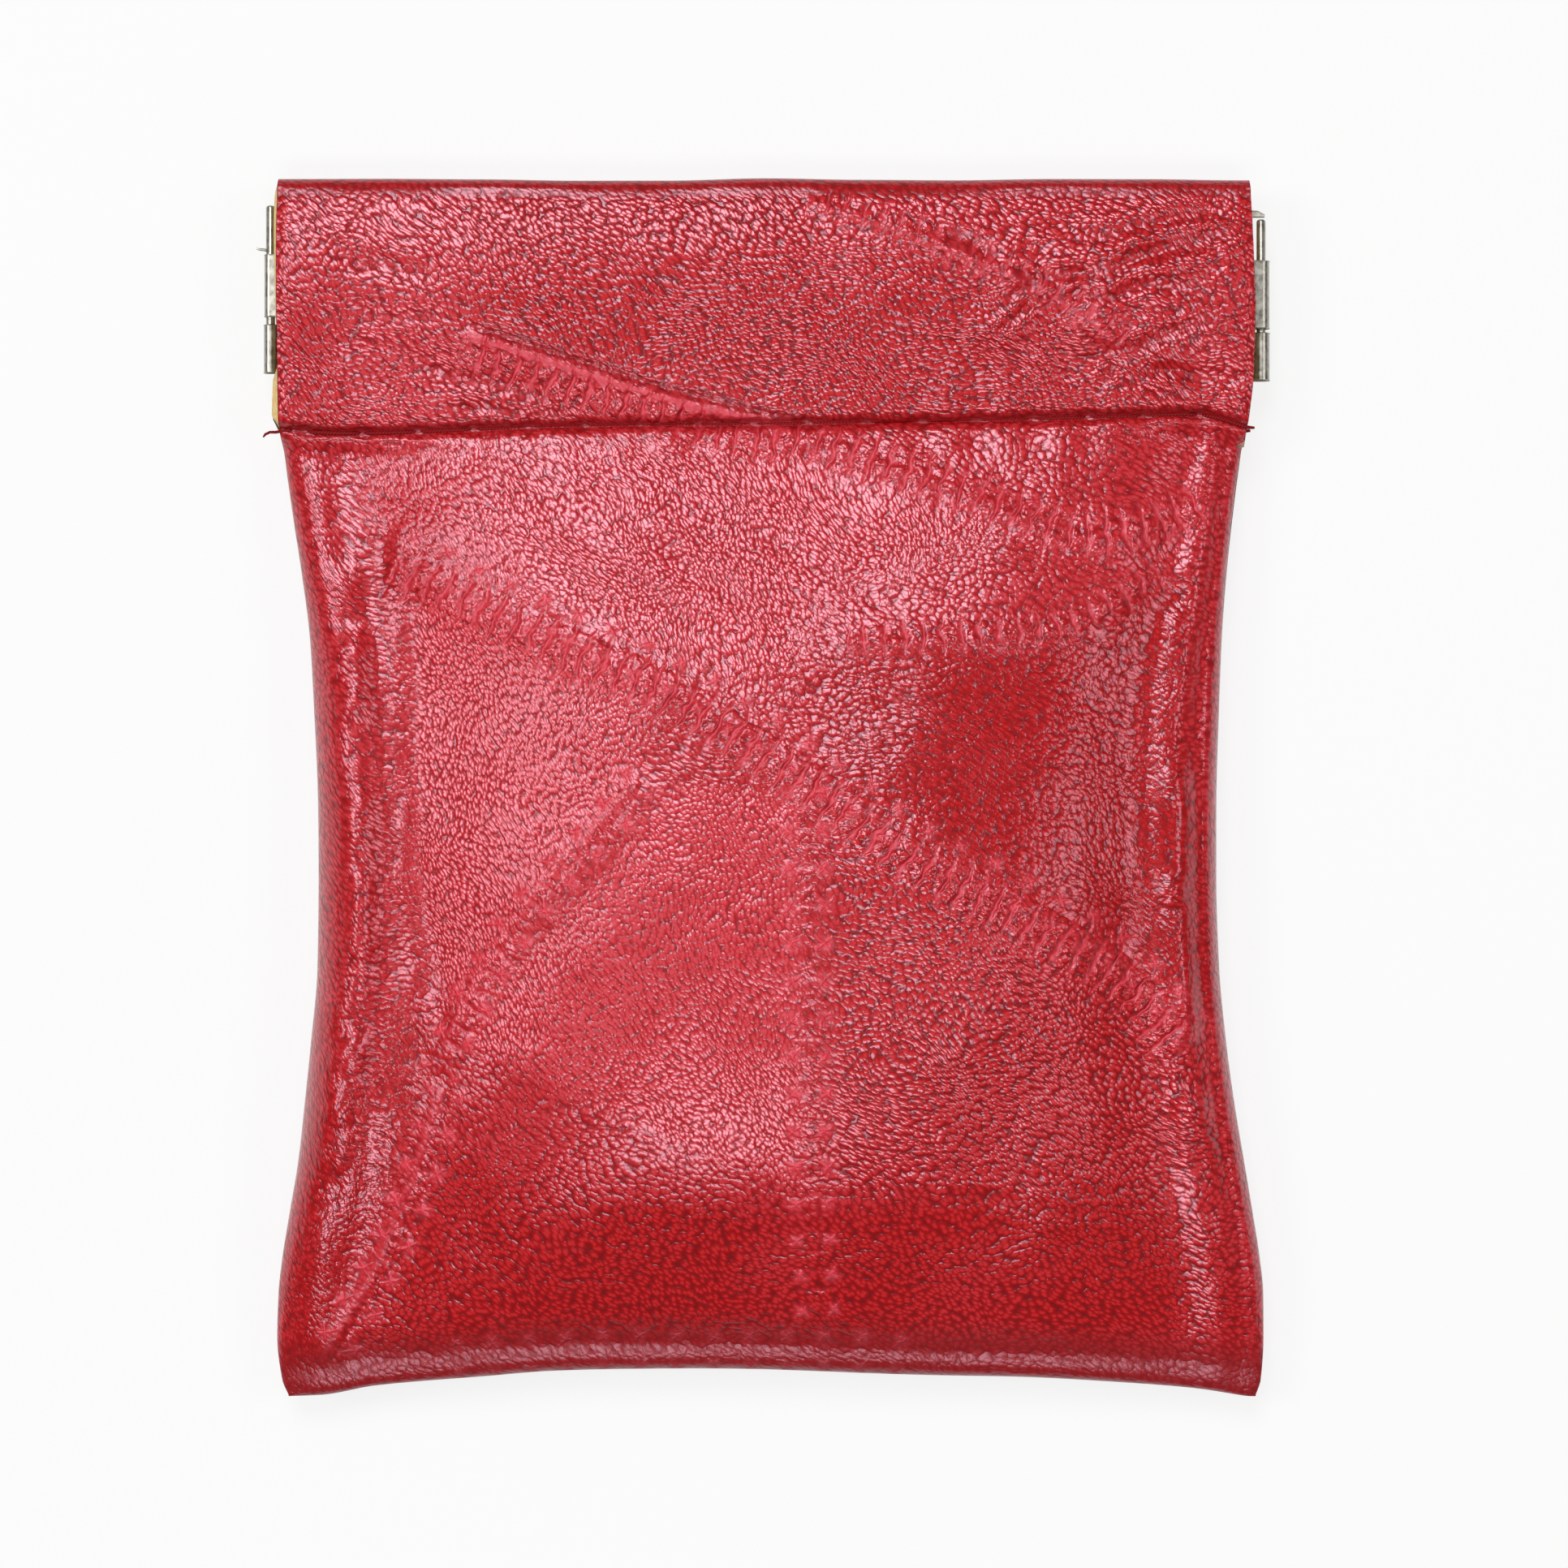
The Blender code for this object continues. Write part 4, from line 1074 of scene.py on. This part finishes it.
THREAD_RADIUS, THREAD_TAPER, TAPER_POWER = 0.17, 0.35, 6
STITCH_LENGTH, STITCH_COUNT, STITCH_POINTS = 4.2, 17, 9
STITCH_DEPTH, STITCH_DIP, DIP_POWER = 1.93, 0.45, 5
STITCH_DROP = 0.02
LOOSE_END = [(-37.4, 76.25, 1.9), (-38.1, 76.2, 1.75), (-38.6, 76.12, 1.6), (-39.1, 76.12, 1.55),
             (-39.45, 75.95, 1.6), (-39.62, 75.72, 1.62)]
LOOSE_END_RADII = [0.14, 0.13, 0.13, 0.12, 0.11, 0.06]


def stitch_at(face, x):
    """One stitch of the line under the cuff, centred at x: it dips into the leather at both ends."""
    share = np.linspace(-1, 1, STITCH_POINTS)
    places = x + share * STITCH_LENGTH / 2
    v = STITCH_V - STITCH_DROP + stitch_shift(places, np.full(len(places), STITCH_V), face)
    depth = STITCH_DEPTH - STITCH_DIP * np.abs(share) ** DIP_POWER
    radii = THREAD_RADIUS * (1 - THREAD_TAPER * np.abs(share) ** TAPER_POWER)
    return strand(np.stack([places, v, depth], axis=1), radii)


def make_stitches(thread):
    """The stitches that hold the cuff's hem, one object for each stretch of leather."""
    centres = STITCH_START + STITCH_PITCH / 2 + np.arange(STITCH_COUNT) * STITCH_PITCH
    border = PIN_X - MIDDLE_FOLD * FAN * STITCH_V
    shown = set()
    for face in FACES:
        for name, side in SIDES.items():
            for part in ("middle", "outer"):
                shapes = [stitch_at(face, x) for x in centres
                          if (x > 0) == (side > 0) and (abs(x) > border) == (part == "outer")]
                made = solid("%s_stitches_%s_%s" % (face, name, part), shapes, face, thread)
                bend(made, face, name, part)
                bodies = shown_bodies(face, name, part)
                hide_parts(*[body + "_cuff_stitches" for body in bodies if body not in shown])
                shown.update(bodies)


def make_loose_end(thread):
    """The cut end of the cuff's thread, standing out at the left."""
    made = solid("loose_thread_end", [strand(LOOSE_END, LOOSE_END_RADII)], "front", thread)
    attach(made, "front_left_outer")


# Materials

class Field:
    """A number or colour that differs over a surface; sums on it become nodes."""

    def __init__(self, look, socket):
        self.look, self.socket = look, socket

    def sum(self, operation, *values):
        return self.look.node("ShaderNodeMath", dict(enumerate(values)), operation=operation)

    def __add__(self, other):
        return self.sum("ADD", self, other)

    def __sub__(self, other):
        return self.sum("SUBTRACT", self, other)

    def __rsub__(self, other):
        return self.sum("SUBTRACT", other, self)

    def __mul__(self, other):
        return self.sum("MULTIPLY", self, other)

    def __truediv__(self, other):
        return self.sum("DIVIDE", self, other)

    def __abs__(self):
        return self.sum("ABSOLUTE", self)

    def most(self, other):
        return self.sum("MAXIMUM", self, other)

    def clamped(self):
        """Keeps the sum just made from 0 to 1."""
        self.socket.node.use_clamp = True
        return self

    def bell(self, centre, width):
        """1 where the number is centre, falling off over width."""
        off = (self - centre) / width
        return self.sum("EXPONENT", off * off * -1.0)

    def ramp(self, *stops):
        made = self.look.node("ShaderNodeValToRGB", {"Fac": self})
        elements = made.socket.node.color_ramp.elements
        while len(elements) < len(stops):
            elements.new(0.5)
        for element, (position, colour) in zip(elements, stops):
            element.position = position
            element.color = (*colour, 1.0)
        return made


class Look:
    """A material and short ways to add nodes to it."""

    def __init__(self, name, roughness, metallic=0.0, specular=0.5):
        self.material = bpy.data.materials.new(name)
        self.material.use_nodes = True
        self.tree = self.material.node_tree
        self.shader = self.tree.nodes["Principled BSDF"]
        self.set({"Roughness": roughness, "Metallic": metallic, "Specular IOR Level": specular})

    def feed(self, made, name, value):
        if isinstance(value, Field):
            self.tree.links.new(value.socket, made.inputs[name])
        else:
            made.inputs[name].default_value = value

    def node(self, kind, inputs=(), output=0, **settings):
        """One output of a new node."""
        made = self.tree.nodes.new(kind)
        for name, value in settings.items():
            setattr(made, name, value)
        for name, value in dict(inputs).items():
            self.feed(made, name, value)
        return Field(self, made.outputs[output])

    def set(self, inputs):
        """Sets or links inputs of the shader."""
        for name, value in inputs.items():
            self.feed(self.shader, name, value)

    def noise(self, where, scale, detail=2.0, roughness=0.5, output="Fac"):
        inputs = {"Vector": where, "Scale": scale, "Detail": detail, "Roughness": roughness}
        return self.node("ShaderNodeTexNoise", inputs, output)

    def bump(self, height, strength, distance):
        bump = self.node("ShaderNodeBump", {"Height": height, "Strength": strength, "Distance": distance})
        self.set({"Normal": bump})

    def vector(self, operation, first, second):
        return self.node("ShaderNodeVectorMath", {0: first, 1: second}, operation=operation)

    def mix(self, share, first, second, kind="RGBA"):
        inputs = {"Factor": share, "A": first, "B": second}
        return self.node("ShaderNodeMix", inputs, "Result", data_type=kind)

    def object_place(self):
        return self.node("ShaderNodeTexCoord", output="Object")

    def map_place(self):
        return self.node("ShaderNodeUVMap", uv_map="leather_map")

    def parts(self, name):
        """The three numbers of a mesh attribute."""
        attribute = self.node("ShaderNodeAttribute", output="Vector", attribute_name=name)
        first = self.node("ShaderNodeSeparateXYZ", {"Vector": attribute})
        return [Field(self, socket) for socket in first.socket.node.outputs]


# Grain: angle and size of the cells of the slack and the steep grain, and how they wander
SLACK_GRAIN, STEEP_GRAIN = (-34, (0.64, 0.38)), (-60, (0.49, 0.30))
CELL_RANDOMNESS, CELL_DOME = 0.95, 1.5
DRIFT_SCALE, DRIFT = 0.07, (5.0, 5.0, 0.0)
SHAKE_SCALE, SHAKE = 1.3, (0.35, 0.35, 0.0)
# Seams: spacing of the stitches, reach of their crosses, width of furrows, place of the lip and raised edge
STITCH_SPACING, CROSS_REACH = 2.9, 1.25
CROSS_WIDE, SPOT_WIDE = 0.17, 0.55
FURROW_WIDE, FURROW_GAIN, RIB_LEVEL = 0.42, 5.0, 0.7
LIP_PLACE, LIP_GAIN, LIP_WANDER = (-0.5, 0.36), 6.0, 0.55
EDGE_TOP, EDGE_FOOT = (-0.5, 0.45), (0.32, 0.3)
RIB_SHIFT_SCALE, RIB_SHIFT = 0.6, 1.4
RIB_UNEVEN_SCALE, RIB_UNEVEN_START, RIB_UNEVEN = 0.9, 0.25, 2.2
# Heights of the bump
PEBBLE_HEIGHT, LUMP_HEIGHT, COARSE_HEIGHT, CROSS_HEIGHT = 0.052, 0.03, 0.07, 0.10
SMOOTHED = 0.75
# Colours. The deep and the rosy red are partly a shaded and a lit copy of one red, mixed by the patches'
# pinkness; in each, the lighter cell tops are partly painted sheen and the darker gaps partly painted shade
DEEP_RED = (0.2, (0.21, 0.0006, 0.0005)), (0.78, (0.37, 0.001, 0.001)), (0.97, (0.55, 0.016, 0.018))
ROSY_RED = (0.2, (0.32, 0.003, 0.004)), (0.70, (0.52, 0.014, 0.021)), (0.95, (0.68, 0.068, 0.088))
# The second of these is a dark red painted as shade at the stitch line, foot, fold, rim, cuff's lap and
# creases
PULLED_RED, PAINTED_SHADE_RED = (0.68, 0.032, 0.052, 1.0), (0.22, 0.001, 0.001, 1.0)
LEATHER_TINT = (1.0, 0.80, 0.98, 1.0)
SUEDE_COLOURS = (0.3, (0.46, 0.20, 0.13)), (0.7, (0.68, 0.40, 0.27))
EDGE_COLOURS = (0.3, (0.66, 0.42, 0.14)), (0.7, (0.88, 0.69, 0.34))
STEEL_COLOURS = (0.25, (0.20, 0.19, 0.15)), (0.6, (0.50, 0.48, 0.43))
THREAD_COLOURS = (0.2, (0.12, 0.002, 0.003)), (0.8, (0.30, 0.006, 0.010))
NAP_SHARE = 0.55
CLOUD_SCALE, CLOUD_STRENGTH, SPOT_COLOUR = 0.11, 0.8, 0.5
# The fourth roughness is added where shade is painted into the colour
PLAIN_ROUGH, PEBBLE_GLOSS, WORN_ROUGH, PAINTED_SHADE_ROUGH, SEAM_ROUGH = 0.21, 0.07, 0.08, 0.16, 0.25


def grain(look, surface, angle, size):
    """Domed cells, longer one way, from 0 in the gaps to 1 on top."""
    turned = look.node("ShaderNodeMapping", {"Vector": surface, "Rotation": (0, 0, math.radians(angle)),
                                             "Scale": (*size, 1.0)}, vector_type="TEXTURE")
    cells = look.node("ShaderNodeTexVoronoi", {"Vector": turned, "Scale": 1.0, "Randomness": CELL_RANDOMNESS},
                      feature="F1", voronoi_dimensions="2D")
    return (1.0 - cells * cells * CELL_DOME).clamped()


def seam_bumps(look, layer, shift, uneven):
    """For a layer's seams: puckers and raised edge, thread crosses, pulled spots, smooth lip and furrows."""
    along, across, ribs = look.parts("seam_%d" % layer)
    marks, ridge, _ = look.parts("marks_%d" % layer)
    wandering = across + (uneven - LIP_WANDER) * LIP_WANDER
    wave = (along + shift) * (math.pi / RIB_PITCH)
    furrow = wave.sum("SINE", wave).bell(0.0, FURROW_WIDE)
    rib = (RIB_LEVEL - furrow) * uneven * ribs
    lip = (wandering.bell(*LIP_PLACE) * (ridge * LIP_GAIN)).clamped()
    furrow = (furrow * (ribs * FURROW_GAIN)).clamped() * (1.0 - lip)
    rib = rib + (across.bell(*EDGE_TOP) - across.bell(*EDGE_FOOT)) * ridge
    beat = (along + shift * 0.5) / STITCH_SPACING
    beat = abs((beat.sum("FRACT", beat) - 0.5) * STITCH_SPACING)
    reach = abs(abs(wandering) - CROSS_REACH)
    crossing = abs(beat - reach).bell(0.0, CROSS_WIDE)
    spot = (beat.bell(0.0, SPOT_WIDE) * reach.bell(0.0, SPOT_WIDE) * marks).clamped()
    return rib, (crossing * spot).clamped(), spot, lip, furrow


def leather_look():
    look = Look("red_grain_leather", 0.3, specular=0.68)
    look.set({"Specular Tint": LEATHER_TINT})
    millimetres = look.vector("MULTIPLY", look.map_place(), (MAP_MILLIMETRES,) * 3)
    pink, steep, strong = look.parts("patch")

    # Grain: slanting cells that wander a little, in two directions
    wander = look.vector("MULTIPLY", look.noise(millimetres, DRIFT_SCALE, output="Color"), DRIFT)
    shake = look.vector("MULTIPLY", look.noise(millimetres, SHAKE_SCALE, output="Color"), SHAKE)
    moved = look.vector("ADD", look.vector("ADD", millimetres, wander), shake)
    pebble = look.mix(steep, grain(look, moved, *SLACK_GRAIN), grain(look, moved, *STEEP_GRAIN), "FLOAT")
    coarse = look.noise(millimetres, scale=0.4, detail=3.0)
    lumpy = look.noise(millimetres, scale=1.5)

    # Seams: uneven puckers across them, and a cross of thread pulled through at each stitch
    shift = look.noise(millimetres, RIB_SHIFT_SCALE) * RIB_SHIFT
    uneven = (look.noise(millimetres, RIB_UNEVEN_SCALE) - RIB_UNEVEN_START) * RIB_UNEVEN
    first, second = seam_bumps(look, 1, shift, uneven), seam_bumps(look, 2, shift, uneven)
    rib = first[0] + second[0]
    cross, spot, lip, furrow = [(one + two).clamped() for one, two in zip(first[1:], second[1:])]
    smoothed = lip.most(furrow)
    # The third part of marks_1 holds the painted shade
    painted_shade = look.parts("marks_1")[2]

    height = (pebble * strong * PEBBLE_HEIGHT + lumpy * LUMP_HEIGHT) * (1.0 - smoothed * SMOOTHED)
    height = height + coarse * COARSE_HEIGHT + rib + cross * CROSS_HEIGHT
    look.bump(height * MM, strength=1.0, distance=1.0)

    cloud = (look.noise(millimetres, CLOUD_SCALE, detail=3.0) - 0.5) * CLOUD_STRENGTH
    # The pinkness mixes the deep and the rosy red: partly each patch's own colour, partly painted sheen where
    # highlights fall and painted shade where they don't
    red_with_painted_light = look.mix((pink + cloud).clamped(), pebble.ramp(*DEEP_RED), pebble.ramp(*ROSY_RED))
    pulled = (cross + spot * SPOT_COLOUR).clamped().most(smoothed * SMOOTHED)
    # Painted shade: the colour is darkened towards a dark red at the stitch line, foot, fold, rim, cuff's lap
    # and creases
    look.set({"Base Color": look.mix(painted_shade, look.mix(pulled, red_with_painted_light, PULLED_RED), PAINTED_SHADE_RED)})
    rough = PLAIN_ROUGH - pebble * PEBBLE_GLOSS
    rough = rough + coarse * WORN_ROUGH + painted_shade * PAINTED_SHADE_ROUGH
    look.set({"Roughness": rough + spot.most(smoothed) * SEAM_ROUGH})
    return look.material


def suede_look():
    """The flesh side of the leather, seen inside the mouth."""
    look = Look("suede_inside", 0.92)
    surface = look.map_place()
    nap = look.noise(surface, scale=180.0, detail=5.0, roughness=0.7)
    cloud = look.noise(surface, scale=22.0, detail=3.0)
    both = nap * NAP_SHARE + cloud * (1 - NAP_SHARE)
    look.set({"Sheen Weight": 0.25, "Base Color": both.ramp(*SUEDE_COLOURS)})
    look.bump(nap, strength=0.6, distance=0.06 * MM)
    return look.material


def cut_edge_look():
    """The pale raw edge of the leather, with its fibres."""
    look = Look("raw_edge", 0.85)
    fibre = look.noise(look.object_place(), scale=2600.0, detail=4.0, roughness=0.7)
    look.set({"Base Color": fibre.ramp(*EDGE_COLOURS)})
    look.bump(fibre, strength=0.7, distance=0.08 * MM)
    return look.material


def steel_look():
    look = Look("nickel_plated_steel", 0.3, 1.0)
    where = look.object_place()
    stretched = look.node("ShaderNodeMapping", {"Vector": where, "Scale": (1.0, 0.12, 1.0)})
    specks = look.noise(where, scale=1500.0, detail=4.0, roughness=0.7)
    rough = look.node("ShaderNodeMapRange", {"Value": specks, "From Min": 0.3, "From Max": 0.75,
                                             "To Min": 0.26, "To Max": 0.44})
    look.set({"Base Color": specks.ramp(*STEEL_COLOURS), "Roughness": rough})
    drawn_lines = look.noise(stretched, scale=9000.0, detail=3.0, roughness=0.6)
    look.bump(drawn_lines, strength=0.25, distance=0.012 * MM)
    return look.material


def thread_look():
    look = Look("dark_red_thread", 0.75, specular=0.2)
    twist = (0, 0, math.radians(35))
    slanted = look.node("ShaderNodeMapping", {"Vector": look.object_place(), "Rotation": twist})
    inputs = {"Vector": slanted, "Scale": 1500.0, "Distortion": 1.5, "Detail": 2.0}
    plies = look.node("ShaderNodeTexWave", inputs, "Fac")
    look.set({"Base Color": plies.ramp(*THREAD_COLOURS)})
    look.bump(plies, strength=0.6, distance=0.05 * MM)
    return look.material


# Stage, light and camera

FLOOR_REACH, FLOOR_Z = 30.0, -0.02
FLOOR_GREY, FLOOR_GLOW = 0.78, 0.8
WORLD_LEVEL = 0.16
LAMP_DISTANCE, LAMP_COLOUR = 1.0, (1.0, 0.985, 0.97)
# Lamps: direction, size in metres, brightness
LAMPS = {
    "low_lamp": ((-0.02, -0.33, 0.94), (0.50, 0.20), 11.0),
    "top_lamp": ((-0.12, 0.46, 0.88), (0.38, 0.38), 12.5),
    "left_lamp": ((-0.60, 0.12, 0.79), (0.34, 0.34), 9.0),
    "right_lamp": ((0.62, 0.05, 0.78), (0.34, 0.34), 5.0),
}
CLIP_START = 0.01


def make_stage():
    """A pale floor that glows for the camera and for reflections, but not on the wallet."""
    mesh = bpy.data.meshes.new("floor")
    corners = [(x * FLOOR_REACH, y * FLOOR_REACH, 0) for x, y in ((-1, -1), (1, -1), (1, 1), (-1, 1))]
    mesh.from_pydata(corners, [], [(0, 1, 2, 3)])
    floor = add_object("floor", mesh)
    floor.location.z = FLOOR_Z * MM
    look = Look("paper_floor", 0.9, specular=0.0)
    look.set({"Base Color": (FLOOR_GREY, FLOOR_GREY, FLOOR_GREY, 1.0)})
    look.bump(look.noise(look.object_place(), scale=900.0), strength=0.05, distance=0.01 * MM)
    camera_ray = look.node("ShaderNodeLightPath", output="Is Camera Ray")
    rays = camera_ray.socket.node.outputs
    glossy, through = [Field(look, rays[name]) for name in ("Is Glossy Ray", "Is Transmission Ray")]
    share = camera_ray.most(glossy.most(through)) * FLOOR_GLOW
    glow = look.node("ShaderNodeEmission", {"Color": (1, 1, 1, 1), "Strength": 1.0})
    both = look.node("ShaderNodeMixShader", {0: share, 1: Field(look, look.shader.outputs[0]), 2: glow})
    look.feed(look.tree.nodes["Material Output"], "Surface", both)
    mesh.materials.append(look.material)


def make_light():
    """Soft oval lamps that face the wallet, with a brightness of 1 for white, and an even sky."""
    world = bpy.data.worlds.new("studio")
    world.use_nodes = True
    bpy.context.scene.world = world
    ground = world.node_tree.nodes["Background"]
    ground.inputs["Color"].default_value = (1, 1, 1, 1)
    ground.inputs["Strength"].default_value = WORLD_LEVEL
    for name, (direction, size, brightness) in LAMPS.items():
        lamp = bpy.data.lights.new(name, "AREA")
        lamp.shape = "ELLIPSE"
        lamp.size, lamp.size_y = size
        lamp.energy = brightness * math.pi * math.pi * size[0] * size[1] / 4
        lamp.color = LAMP_COLOUR
        holder = add_object(name, lamp)
        holder.location = Vector(direction).normalized() * LAMP_DISTANCE
        holder.rotation_euler = holder.location.to_track_quat("Z", "Y").to_euler()


def make_camera():
    camera = bpy.data.cameras.new("camera")
    camera.lens = LENS
    camera.sensor_width = SENSOR
    camera.clip_start = CLIP_START
    holder = add_object("camera", camera)
    x = (FRAME_PX / 2 - MIDDLE_PX) * PIXEL
    y = (FOOT_PX - FRAME_PX / 2) * PIXEL - HEIGHT / 2
    holder.location = (x * MM, y * MM, camera_height() * MM)
    bpy.context.scene.camera = holder


bpy.context.scene.view_settings.view_transform = "Standard"
make_camera()
make_light()
make_stage()
leather, suede, raw_edge = leather_look(), suede_look(), cut_edge_look()
steel, thread = steel_look(), thread_look()
make_leather([leather, suede, raw_edge])
make_turned_edges(leather, suede)
make_hinges(steel)
make_stitches(thread)
make_loose_end(thread)
for name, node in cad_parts.items():
    if "leather" not in name:
        node.data.materials.clear()
        node.data.materials.append(steel if "strip" in name or "pin" in name else thread)
